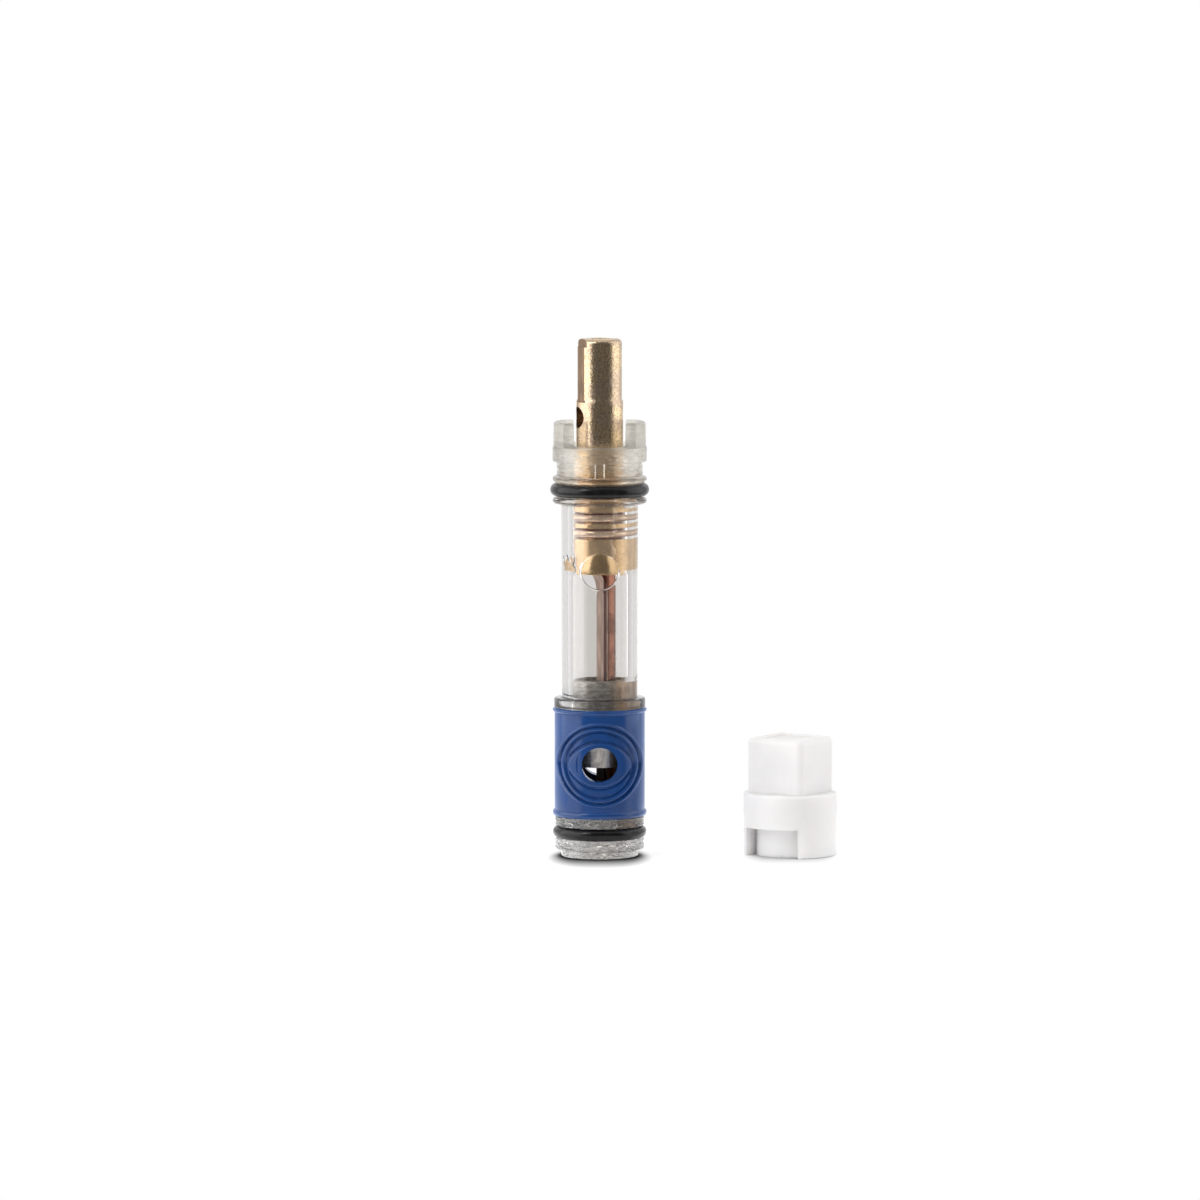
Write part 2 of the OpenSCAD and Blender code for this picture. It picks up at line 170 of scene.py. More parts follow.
class StemSettings(bpy.types.PropertyGroup):
    stem_r: length("Stem radius", 4.7, "Radius of the stem in the gland")
    end_r: length("Stem end radius", 4.45, "Radius of the stem's end")
    end_h: length("Stem end height", 12.2, "Height of the stem's end")
    lower_h: length("Lower stem height", 20.4, "Height from the piston to the stem's end")
    top_round: length("Top rounding", 0.9, "Rounding of the stem's top edge")
    flat_at: length("Flat distance", 3.98, "Distance of the long flat from the axis")
    notch_at: length("Top flat distance", 3.65, "Distance of the short top flat from the axis")
    notch_h: length("Top flat height", 1.6, "Height of the short top flat")
    cross_hole_r: length("Cross hole radius", 2.15, "Radius of the cross hole")
    cross_hole_up: length("Cross hole height", 16.9, "Height of the cross hole over the piston")
    screw_hole_r: length("Screw hole radius", 1.9, "Radius of the tapped hole")
    screw_hole_deep: length("Screw hole depth", 11.5, "Depth of the tapped hole")
    piston_r: length("Piston radius", 5.25, "Radius of the piston")
    piston_h: length("Piston height", 14.5, "Height of the piston")
    ring_up: length("Lower ring height", 8.3, "Height of the lower piston ring over the piston's end")
    ring_pitch: length("Ring pitch", 3.15, "Distance between the piston rings")
    ring_section: length("Ring section", 1.78, "Section diameter of the piston rings")
    ring_r: length("Ring radius", 5.46, "Outer radius of the piston rings")
    rod_r: length("Rod radius", 3.2, "Radius of the bar that the rod is cut from")
    rod_cut: length("Rod cut", 0.44, "How far the rod's flat lies past the axis")
    runout_r: length("Run-out radius", 5.5, "Radius of the cutter that made the rod's flat")
    spool_r: length("Spool radius", 5.42, "Radius of the spool")
    spool_wall: length("Spool wall", 0.8, "Wall thickness of the spool")
    spool_floor: length("Spool floor", 1.5, "Thickness of the spool's floor")
    spool_h: length("Spool height", 32.4, "Length of the spool")
    spool_z: length("Spool level", 3.3, "Height of the spool's lower end")
    window_w: length("Window width", 7.2, "Width of the spool's windows")
    window_h: length("Window height", 7.8, "Height of the spool's windows")
    window_over: length("Window overlap", 0.3, "How far a window stays under its port with the stem down")
    stroke: length("Stroke", 7.6, "How far the stem slides")
    lifted: length("Lift", 3.0, "Height of the stem over its lowest place")
    stop_clear: length("Stop clearance", 0.1, "Gap between the piston and its stop with the stem up")
    brass: colour("Brass", (0.81, 0.605, 0.375), "Colour of the stem")
    copper: colour("Rod", (0.42, 0.19, 0.13), "Colour of the connecting rod")
    steel: colour("Spool", (0.52, 0.49, 0.455), "Colour of the spool")
    # The light cream of the piston rings' pressed band is a painted reflection; their red brown rubber at the
    # edges is set in greased_ring.
    brown: colour("Piston rings", (0.92, 0.68, 0.5), "Colour of the piston rings")


class CapSettings(bpy.types.PropertyGroup):
    place_x: length("Cap distance", 38.3, "Distance of the cap to the right of the cartridge")
    place_y: length("Cap offset", 2.0, "Distance of the cap to the back")
    turn: bpy.props.FloatProperty(
        name="Cap turn", description="Turn of the cap about its axis", default=math.radians(238),
        unit="ROTATION")
    skirt_r: length("Skirt radius", 9.4, "Radius of the round skirt")
    skirt_h: length("Skirt height", 12.6, "Height of the round skirt")
    head_w: length("Head width", 13.1, "Width of the square head")
    head_h: length("Head height", 11.2, "Height of the square head")
    corner: length("Corner radius", 1.5, "Radius of the head's upright corners")
    top_round: length("Top rounding", 1.1, "Rounding of the head's top edge")
    dish: length("Dish depth", 0.45, "Depth of the dish in the head's top")
    dish_rim: length("Dish rim", 1.9, "Width of the rim round the dish")
    hub_r: length("Hub radius", 6.7, "Radius of the hub between the recesses")
    bore_r: length("Cap bore", 5.05, "Radius of the bore for the stem")
    top_wall: length("Top wall", 1.4, "Thickness of the cap's top")
    recess_w: length("Recess width", 12.1, "Width of the recesses for the ears")
    recess_h: length("Recess height", 5.8, "Height of the recesses for the ears")
    white: colour("White plastic", (0.9, 0.885, 0.88), "Colour of the cap")


class StudioSettings(bpy.types.PropertyGroup):
    distance: length("Camera distance", 1800, "Distance from the camera to the cartridge")
    elevation: bpy.props.FloatProperty(
        name="Camera elevation", description="How far the camera looks down", default=math.radians(5.2),
        unit="ROTATION")
    aim_x: length("Aim, sideways", 0.06, "Where the camera aims, to the right of the cartridge's axis")
    aim_z: length("Aim, height", 51.5, "Height that the camera aims at")
    view_w: length("View width", 240.6, "Width that the picture covers at the cartridge")


# Profiles

def arc(centre_r, centre_z, radius, start, end, steps=8):
    """Points on a circle: its centre plus radius times the cosine and sine of an even run of angles."""
    turn = np.radians(np.linspace(start, end, steps + 1))
    return np.column_stack((centre_r + radius * np.cos(turn), centre_z + radius * np.sin(turn)))


def path(*stretches):
    """One profile from points and arcs, in order."""
    return np.vstack([np.atleast_2d(np.asarray(stretch, float)) for stretch in stretches])


def divided(profile, step, loop=True):
    """The profile with each straight stretch cut evenly into pieces no longer than step."""
    ends = np.vstack((profile, profile[:1])) if loop else profile
    edge = np.diff(ends, axis=0)
    count = np.maximum(1, np.ceil(np.hypot(*edge.T) / step)).astype(int)
    edge_of = np.repeat(np.arange(len(edge)), count)
    share = (np.arange(count.sum()) - np.repeat(np.cumsum(count) - count, count)) / count[edge_of]
    points = ends[edge_of] + edge[edge_of] * share[:, None]
    return points if loop else np.vstack((points, ends[-1:]))


def turned(profile, columns):
    """Grid of points on a surface of revolution: (r cos t, r sin t, z), with t even round the circle."""
    turn = np.arange(columns) * TURN / columns
    r, z = profile[:, :1], profile[:, 1:]
    return np.stack(np.broadcast_arrays(r * np.cos(turn), r * np.sin(turn), z), axis=-1)


# Meshes

def add_object(name, data):
    """A new object of the scene, at the origin."""
    thing = bpy.data.objects.new(name, data)
    bpy.context.scene.collection.objects.link(thing)
    return thing


def mesh_object(name, points, faces):
    """A mesh from points in millimetres and faces, as an object of the scene."""
    mesh = bpy.data.meshes.new(name)
    mesh.from_pydata((points * MM).tolist(), [], faces)
    mesh.update()
    return add_object(name, mesh)


def grid_piece(name, points, loop=True):
    """Closed mesh of a grid of points in millimetres. Columns run round; rows close into a ring, or the
    first and the last row shrink to one pole each."""
    rows, columns = points.shape[:2]
    index = np.arange(rows * columns).reshape(rows, columns)
    lower = index if loop else index[1:-2]
    upper = np.roll(index, -1, axis=0) if loop else index[2:-1]
    quads = np.stack((lower, np.roll(lower, -1, 1), np.roll(upper, -1, 1), upper), axis=-1).reshape(-1, 4)
    faces = quads.tolist()
    used = index.ravel()
    if not loop:
        first, last = index[1], index[-2]
        start = np.full(columns, index[0, 0])
        finish = np.full(columns, index[-1, 0])
        faces += np.stack((start, np.roll(first, -1), first), axis=-1).tolist()
        faces += np.stack((last, np.roll(last, -1), finish), axis=-1).tolist()
        used = np.unique(np.concatenate([np.ravel(face) for face in faces]))
    renumber = np.zeros(rows * columns, int)
    renumber[used] = np.arange(len(used))
    return mesh_object(name, points.reshape(-1, 3)[used], [renumber[face].tolist() for face in faces])


def boolean(piece, tool, operation="DIFFERENCE"):
    """Cuts the tool out of the piece, or adds it, and deletes the tool."""
    step = piece.modifiers.new(operation.title(), "BOOLEAN")
    step.operation = operation
    step.solver = "EXACT"
    step.object = tool
    bpy.context.view_layer.update()
    mesh = bpy.data.meshes.new_from_object(piece.evaluated_get(bpy.context.evaluated_depsgraph_get()))
    piece.modifiers.clear()
    welded = bmesh.new()
    welded.from_mesh(mesh)
    bmesh.ops.remove_doubles(welded, verts=welded.verts, dist=WELD)
    bmesh.ops.dissolve_degenerate(welded, edges=welded.edges, dist=WELD)
    welded.to_mesh(mesh)
    welded.free()
    old = piece.data
    piece.data = mesh
    bpy.data.meshes.remove(old)
    tool_mesh = tool.data
    bpy.data.objects.remove(tool)
    bpy.data.meshes.remove(tool_mesh)
    return piece


def block(name, low, high):
    """Plain box between two corners in millimetres, for cutting."""
    corner = np.array([[x, y, z] for z in (0, 1) for x, y in ((0, 0), (1, 0), (1, 1), (0, 1))], float)
    points = np.asarray(low) + corner * (np.asarray(high) - np.asarray(low))
    faces = [(3, 2, 1, 0), (4, 5, 6, 7), (0, 1, 5, 4), (1, 2, 6, 5), (2, 3, 7, 6), (3, 0, 4, 7)]
    return mesh_object(name, points, faces)


def turn_about_z(piece, angle, place=(0.0, 0.0)):
    """Turns a mesh about Z by an angle in radians and then moves it sideways, in millimetres."""
    points = np.empty(len(piece.data.vertices) * 3)
    piece.data.vertices.foreach_get("co", points)
    x, y, z = points.reshape(-1, 3).T
    moved = np.column_stack((
        x * math.cos(angle) - y * math.sin(angle) + place[0] * MM,
        x * math.sin(angle) + y * math.cos(angle) + place[1] * MM,
        z))
    piece.data.vertices.foreach_set("co", moved.ravel())
    piece.data.update()
    return piece


def finish_piece(piece, body, slot, material, *nodes):
    """Smooth shading but for real edges, the material, and what the piece rides on and stands for."""
    mesh = piece.data
    mesh.shade_smooth()
    mesh.set_sharp_from_angle(angle=SHARP_ANGLE)
    mesh.materials.clear()
    mesh.materials.append(material)
    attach(piece, body)
    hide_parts(*nodes)


# Material tools

def scaled(rgb, *shares):
    """A colour's channels times one share, or times a share each."""
    return tuple(np.multiply(rgb, shares).tolist())


def grey(level):
    """A colour without hue."""
    return (level, level, level)


def feed(kit, socket, value):
    """Links an input to another node's output, or sets its value. A colour is given without alpha."""
    if isinstance(value, bpy.types.NodeSocket):
        kit.links.new(value, socket)
    elif socket.type == "RGBA":
        socket.default_value = (*value, 1.0)
    else:
        socket.default_value = value


def add_node(kit, kind, inputs=(), **settings):
    """A new shader node with its settings, and its inputs by name or number."""
    node = kit.nodes.new("ShaderNode" + kind)
    for name, value in settings.items():
        setattr(node, name, value)
    for name, value in dict(inputs).items():
        feed(kit, node.inputs[name], value)
    return node


def math_node(kit, operation, *values):
    """The result of an operation on values."""
    return add_node(kit, "Math", enumerate(values), operation=operation).outputs[0]


def vector_node(kit, operation, *vectors):
    """The outputs of an operation on vectors."""
    return add_node(kit, "VectorMath", enumerate(vectors), operation=operation).outputs


def map_range(kit, value, start=0.0, finish=1.0, low=0.0, high=1.0, smooth=False):
    """Maps a value between start and finish onto the range from low to high, in an S if smooth."""
    inputs = {"Value": value, "From Min": start, "From Max": finish, "To Min": low, "To Max": high}
    course = "SMOOTHSTEP" if smooth else "LINEAR"
    return add_node(kit, "MapRange", inputs, interpolation_type=course).outputs["Result"]


def mix_node(kit, share, first, second, kind="FLOAT"):
    """The first value where the share is 0, the second where it is 1."""
    inputs = {"Factor": share, "A": first, "B": second}
    return add_node(kit, "Mix", inputs, data_type=kind).outputs["Result"]


def object_axes(kit):
    """X, Y and Z of the Object coordinates."""
    place = add_node(kit, "TexCoord").outputs["Object"]
    return add_node(kit, "SeparateXYZ", {0: place}).outputs


def ramp_over(kit, value, *stops):
    """A colour that follows a value in metres, by stops of millimetres and colour."""
    ramp = add_node(kit, "ValToRGB", {"Fac": value})
    elements = ramp.color_ramp.elements
    while len(elements) < len(stops):
        elements.new(0.5)
    for element, (place, rgb) in zip(elements, stops):
        element.position = place * MM
        element.color = (*rgb, 1.0)
    return ramp.outputs["Color"]


def bump(kit, height, distance, strength=1.0, under=None):
    """A normal that follows a height, over another normal if one is given."""
    inputs = {"Height": height, "Distance": distance, "Strength": strength}
    if under:
        inputs["Normal"] = under
    return add_node(kit, "Bump", inputs).outputs["Normal"]


def new_material(name):
    """A new node material: its nodes, its links, its shader and its output."""
    material = bpy.data.materials.new(name)
    material.use_nodes = True
    nodes, links = material.node_tree.nodes, material.node_tree.links
    return SimpleNamespace(
        material=material, nodes=nodes, links=links, shader=nodes["Principled BSDF"],
        output=nodes["Material Output"])


def set_shader(kit, **inputs):
    """Feeds inputs of the shader, named with underscores."""
    for name, value in inputs.items():
        feed(kit, kit.shader.inputs[name.replace("_", " ")], value)


def new_group(name, inputs, outputs):
    """An empty shader node group, what it is given and what it puts out: inputs as name, kind and default."""
    group = bpy.data.node_groups.new(name, "ShaderNodeTree")
    for socket, kind, default in inputs:
        made = group.interface.new_socket(name=socket, in_out="INPUT", socket_type=kind)
        made.default_value = default
    for socket, kind in outputs:
        group.interface.new_socket(name=socket, in_out="OUTPUT", socket_type=kind)
    return group, group.nodes.new("NodeGroupInput").outputs, group.nodes.new("NodeGroupOutput").inputs


def mottle_group():
    """Soft cloudy change between two colours, and a value from the same clouds."""
    if "mottle" in bpy.data.node_groups:
        return bpy.data.node_groups["mottle"]
    group, given, result = new_group(
        "mottle",
        [("Colour", COLOUR, (0.5, 0.5, 0.5, 1)), ("Stain", COLOUR, (0.3, 0.3, 0.3, 1)),
         ("Size", FLOAT, 300.0), ("Stretch", FLOAT, 1.0), ("Low", FLOAT, 0.4), ("High", FLOAT, 0.6),
         ("Amount", FLOAT, 1.0)],
        [("Colour", COLOUR), ("Value", FLOAT)])
    place = add_node(group, "TexCoord").outputs["Object"]
    stretch = add_node(group, "CombineXYZ", {"X": 1.0, "Y": 1.0, "Z": given["Stretch"]})
    scale = vector_node(group, "MULTIPLY", place, stretch.outputs[0])
    noise = add_node(group, "TexNoise", {"Vector": scale[0], "Scale": given["Size"], "Detail": 5.0})
    spread = map_range(group, noise.outputs["Fac"], given["Low"], given["High"], smooth=True)
    share = math_node(group, "MULTIPLY", spread, given["Amount"])
    feed(group, result["Colour"], mix_node(group, share, given["Colour"], given["Stain"], "RGBA"))
    feed(group, result["Value"], share)
    return group


def clouds(kit, size, **inputs):
    """The outputs of the mottle group, placed in a material."""
    return add_node(kit, "Group", {"Size": size, **inputs}, node_tree=mottle_group()).outputs


def room_level(kit, direction, through):
    """The room's brightness in a direction; through is 1 for rays that come out of clear plastic."""
    inputs = {"Direction": direction, "Through": through}
    return add_node(kit, "Group", inputs, node_tree=room_group()).outputs["Level"]


def room_group():
    """How bright the room is in a direction: dark behind the camera, greyer at the sides than behind the
    object. Clear plastic sees less of a difference than metal does."""
    if "room" in bpy.data.node_groups:
        return bpy.data.node_groups["room"]
    group, given, result = new_group(
        "room", [("Direction", VECTOR, (0, 0, 1)), ("Through", FLOAT, 0.0)], [("Level", FLOAT)])
    ahead = (-math.sin(FRONT_TURN), math.cos(FRONT_TURN), 0)
    along = vector_node(group, "DOT_PRODUCT", given["Direction"], ahead)["Value"]
    at_sides, behind_camera, behind_object = [
        map_range(group, given["Through"], low=to_metal, high=to_plastic)
        for to_metal, to_plastic in ((0.78, 0.5), (0.15, 0.36), (1.0, 0.82))]
    around = map_range(group, along, 0.3, 0.95, at_sides, behind_object)
    level = map_range(group, along, -0.65, -0.41, behind_camera, around, smooth=True)
    feed(group, result["Level"], level)
    return group


# Materials

def clear_plastic(tint):
    """Clear moulded plastic. Shadow and diffuse rays pass it unbent, so that light reaches the inside. Its
    tint is painted by height: painted shade over the shoulder, a painted brass reflection on the gland
    flanges and painted light at the ears.
    """
    kit = new_material("clear_plastic")
    level = object_axes(kit)["Z"]
    cloud = clouds(kit, 420.0, Stretch=4.0, Low=0.42, High=0.58)
    uneven = ramp_over(kit, level, (7.8, WHITE), (8.5, BLACK), (70, BLACK), (78, grey(0.15)))
    waves = math_node(kit, "MULTIPLY", uneven, cloud["Value"])
    worn = ramp_over(
        kit, level, (8, grey(0.05)), (8.5, grey(0.05)), (32, grey(0.02)), (76.5, grey(0.03)), (80, grey(0.3)))
    # Tint by height with painted light: slightly darker below 8.5 mm, painted shade over the shoulder, a
    # painted reflection of the brass inside on the gland flanges, and painted light that makes the ears
    # lighter and creamier.
    painted_shade_tint = scaled(tint, 0.74)
    painted_brass_reflection_tint = scaled(tint, 1, 0.8, 0.6)
    tint_with_painted_light = ramp_over(
        kit, level, (6, scaled(tint, 0.95)), (8.5, tint), (28.5, tint), (29, painted_shade_tint), (32.5, painted_shade_tint),
        (33, tint), (71.2, tint), (71.8, painted_brass_reflection_tint), (77.5, painted_brass_reflection_tint), (77.9, scaled(tint, 1.11, 1.08, 1)))
    set_shader(kit, Base_Color=tint_with_painted_light, Roughness=worn, Normal=bump(kit, waves, 0.5 * MM), IOR=1.5,
               Transmission_Weight=0.985)
    shade = ramp_over(kit, level, (8.3, grey(0.6)), (8.7, (0.75, 0.74, 0.72)))
    unbent = add_node(kit, "BsdfTransparent", {"Color": shade}).outputs["BSDF"]
    rays = add_node(kit, "LightPath").outputs
    either = math_node(kit, "MAXIMUM", rays["Is Shadow Ray"], rays["Is Diffuse Ray"])
    mixed = add_node(kit, "MixShader", {"Fac": either, 1: kit.shader.outputs["BSDF"], 2: unbent})
    feed(kit, kit.output.inputs["Surface"], mixed.outputs["Shader"])
    return kit.material


def rubber(name, rgb, stain, roughness, size=500.0, shine=0.5, sheen=None):
    """Moulded rubber with cloudy gloss and a fine grain."""
    kit = new_material(name)
    cloud = clouds(kit, size, Colour=rgb, Stain=scaled(rgb, stain))
    gloss = map_range(kit, cloud["Value"], low=roughness, high=roughness + 0.12)
    grain = clouds(kit, 6000.0, Low=0.2, High=0.8)
    set_shader(kit, Base_Color=cloud["Colour"], Specular_IOR_Level=shine, Roughness=gloss,
               Normal=bump(kit, grain["Value"], 0.02 * MM, 0.2))
    if sheen:
        set_shader(kit, Sheen_Weight=0.5, Sheen_Roughness=0.45, Sheen_Tint=sheen)
    return kit.material


def metal(name, rgb, stain, roughness, stretch, speck, metallic=1.0, dull=None, patch=130.0):
    """Turned or drawn metal: cloudy tarnish, uneven gloss, fine marks along or round the axis, dark specks.
    Faces marked as cut flat may have a duller colour and finish."""
    kit = new_material(name)
    cloud = clouds(kit, patch, Colour=rgb, Stain=stain, Stretch=2.0)
    specks = clouds(kit, 2300.0, Colour=cloud["Colour"], Stain=scaled(rgb, 0.45), Low=0.42, High=0.6,
                    Amount=speck)
    surface = specks["Colour"]
    gloss = map_range(kit, cloud["Value"], low=roughness, high=roughness + 0.1)
    if dull:
        cut = add_node(kit, "Attribute", attribute_name="flat").outputs["Fac"]
        flat = clouds(kit, 700.0, Colour=dull, Stain=scaled(dull, 0.7), Stretch=0.3)
        surface = mix_node(kit, cut, surface, flat["Colour"], "RGBA")
        gloss = mix_node(kit, cut, gloss, 0.6)
    grain = bump(kit, specks["Value"], 0.03 * MM * speck)
    marks = clouds(kit, 300.0, Stretch=stretch, Low=0.3, High=0.7)
    set_shader(kit, Metallic=metallic, Base_Color=surface, Roughness=gloss,
               Normal=bump(kit, marks["Value"], 0.006 * MM, under=grain))
    return kit


def lay_over(kit, rgb, *edges, stain=0.68):
    """Mixes a colour over the base colour where each edge's mask is 1: an axis of the Object coordinates and
    the two places in millimetres between which the mask goes from 0 to 1."""
    axes = object_axes(kit)
    mask = 1.0
    for axis, start, finish in edges:
        mask = map_range(kit, axes[axis], start * MM, finish * MM, high=mask, smooth=True)
    under = kit.shader.inputs["Base Color"].links[0].from_socket
    cloud = clouds(kit, 900.0, Colour=rgb, Stain=scaled(rgb, stain), Stretch=0.5, Low=0.46, High=0.62)
    set_shader(kit, Base_Color=mix_node(kit, mask, under, cloud["Colour"], "RGBA"))


def greased_ring(size, levels):
    """Piston ring: a light cream band where it is pressed against the bore, which is a painted reflection,
    and red brown rubber at both edges.
    The distance from the nearer ring's middle folds the height at half the rings' pitch."""
    kit = new_material("brown_rubber")
    over = math_node(kit, "SUBTRACT", object_axes(kit)["Z"], levels.ring_z * MM)
    fold = math_node(kit, "PINGPONG", over, size.ring_pitch / 2 * MM)
    share = map_range(kit, fold, 0.6 * MM, 0.72 * MM, smooth=True)
    cloud = clouds(kit, 500.0, Colour=size.brown, Stain=scaled(size.brown, 0.8))
    # Light cream middle: painted reflection where the ring is pressed against the bore; red brown rubber at
    # the edges.
    set_shader(kit, Base_Color=mix_node(kit, share, cloud["Colour"], (0.42, 0.1, 0.06), "RGBA"),
               Roughness=map_range(kit, cloud["Value"], low=0.2, high=0.35), Metallic=0.7)
    return kit.material


def mark_flat(piece, least):
    """Marks the faces cut flat, for the material: those whose normal lies along the flats' direction."""
    normals = np.empty(len(piece.data.polygons) * 3)
    piece.data.polygons.foreach_get("normal", normals)
    along = normals.reshape(-1, 3) @ (math.cos(FLAT_TURN), math.sin(FLAT_TURN), 0)
    mark = piece.data.attributes.new("flat", "FLOAT", "FACE")
    mark.data.foreach_set("value", (along > least).astype(np.float32))


def white_plastic(rgb):
    """Milky moulded plastic, satin, with a little light inside it."""
    kit = new_material("white_plastic")
    cloud = clouds(kit, 120.0, Colour=rgb, Stain=scaled(rgb, 0.97))
    grain = clouds(kit, 3000.0, Low=0.2, High=0.8)
    set_shader(kit, Base_Color=cloud["Colour"], Roughness=map_range(kit, cloud["Value"], low=0.38, high=0.48),
               Normal=bump(kit, grain["Value"], 0.02 * MM, 0.15), Subsurface_Weight=1.0,
               Subsurface_Radius=(1.0, 0.95, 0.9), Subsurface_Scale=1.2 * MM)
    return kit.material


# Sleeve

def sleeve_levels(size):
    """Heights of the sleeve's steps, each from the one below it."""
    steps = {
        "foot_top": size.foot_h, "base_top": size.ring_h, "lower_groove_top": size.lower_groove_h,
        "land_top": size.land_h, "seat_top": size.seat_h, "shoulder_top": size.shoulder_h,
        "tube_top": size.tube_h, "flange_top": size.flange_h, "upper_groove_top": size.upper_groove_h,
        "gland_top": size.flange_h, "neck_top": size.neck_h, "collar_top": size.collar_h,
        "ear_top": size.ear_h}
    return SimpleNamespace(**dict(zip(steps, np.cumsum(list(steps.values())).tolist())))


def rounded_corner(r, z, size, start, steps=5):
    """Quarter round in the corner at (r, z), tangent to both faces, from one angle on by 90 degrees."""
    middle = math.radians(start + 45)
    inset = size * math.sqrt(2)
    return arc(r - inset * math.cos(middle), z - inset * math.sin(middle), size, start, start + 90, steps)


def hollow_corner(r, z, size, steps=5):
    """Fillet in the corner of a face at z and a wall at r, run from the face up the wall."""
    return arc(r + size, z + size, size, 270, 180, steps)


def sleeve_profile(size, stop_z):
    """The sleeve's outline, anticlockwise: out along the foot, up the outside, in over the ears and down the
    bore."""
    z = sleeve_levels(size)
    lip = size.flange_h / 2
    ear_in = size.ear_r - size.ear_wall
    return path(
        (size.bore_r + 0.15, 0), rounded_corner(size.foot_r, 0, 0.4, -90),
        hollow_corner(size.foot_r, z.foot_top - 0.15, 0.15, 2)[::-1],
        rounded_corner(size.ring_r, z.foot_top, 0.4, -90, 8), rounded_corner(size.ring_r, z.base_top, 0.3, 0),
        (size.lower_groove_r, z.base_top), (size.lower_groove_r, z.lower_groove_top),
        rounded_corner(size.ring_r, z.lower_groove_top, 0.25, -90, 8),
        rounded_corner(size.ring_r, z.land_top, 0.3, 0),
        (size.seat_r, z.land_top), (size.seat_r, z.seat_top),
        rounded_corner(size.shoulder_r, z.seat_top, 0.2, -90, 8),
        rounded_corner(size.shoulder_r, z.shoulder_top, 0.45, 0),
        hollow_corner(size.tube_low_r, z.shoulder_top, 0.45),
        (size.tube_high_r, z.tube_top - 0.3), arc(size.tube_high_r + 0.3, z.tube_top - 0.3, 0.3, 180, 90, 4),
        arc(size.gland_r - lip, z.tube_top + lip, lip, -90, 90, 14),
        (size.upper_groove_r, z.flange_top), (size.upper_groove_r, z.upper_groove_top),
        arc(size.gland_r - lip, z.upper_groove_top + lip, lip, -90, 90, 14),
        hollow_corner(size.neck_r, z.gland_top, 0.2, 3), (size.neck_r, z.neck_top - 0.15),
        arc(size.neck_r + 0.15, z.neck_top - 0.15, 0.15, 180, 90, 3),
        rounded_corner(size.collar_r, z.neck_top, 0.2, -90, 4),
        rounded_corner(size.collar_r, z.collar_top, 0.1, 0, 2), (size.ear_r, z.collar_top),
        rounded_corner(size.ear_r, z.ear_top, 0.55, 0, 6), rounded_corner(ear_in, z.ear_top, 0.4, 90, 5),
        arc(ear_in - 0.9, z.collar_top + 0.9, 0.9, 0, -90, 6),
        (size.guide_r + 0.3, z.collar_top), (size.guide_r, z.collar_top - 0.3),
        (size.guide_r, stop_z), (size.bore_r, stop_z), (size.bore_r, 0.15))


def plateau(value, start, finish, soft):
    """1 between start and finish, 0 outside, with an S-shaped edge of width soft on each side."""
    rise = np.clip((value - start) / soft, 0, 1)
    fall = np.clip((finish - value) / soft, 0, 1)
    return rise * rise * (3 - 2 * rise) * fall * fall * (3 - 2 * fall)


def grease_radius(side, level, bore_r, stem, moving):
    """Radius of the bore with its grease. The film fills the gap to the piston and to the spool on the right,
    between wavy edges, and in one smear low on the left; side is the angle from the front in degrees."""
    wave = 3.5 * np.sin(1.7 * level) + 3.0 * np.sin(0.61 * level + 1.0)
    right = plateau(side + wave, 18, 168, 18)
    on_piston = plateau(level, moving.piston_z + 0.1, moving.piston_top - 0.3, 0.8)
    spool_top = stem.spool_z + stem.spool_h
    on_spool = plateau(level, 0.5, spool_top + 0.35 + 0.15 * np.sin(0.2 * side), 0.6)
    smear = plateau(side + 4 * np.sin(2.9 * level), -100, -52, 6)
    smear_top = moving.piston_z + 3.4 + 0.4 * np.sin(0.3 * side)
    smear = smear * plateau(level, moving.piston_z + 0.1, smear_top, 0.6)
    piston_film = np.maximum(right * on_piston, smear) * (bore_r - stem.piston_r + 0.03)
    spool_film = right * on_spool * (bore_r - stem.spool_r + 0.03)
    return bore_r - np.maximum(piston_film, spool_film)


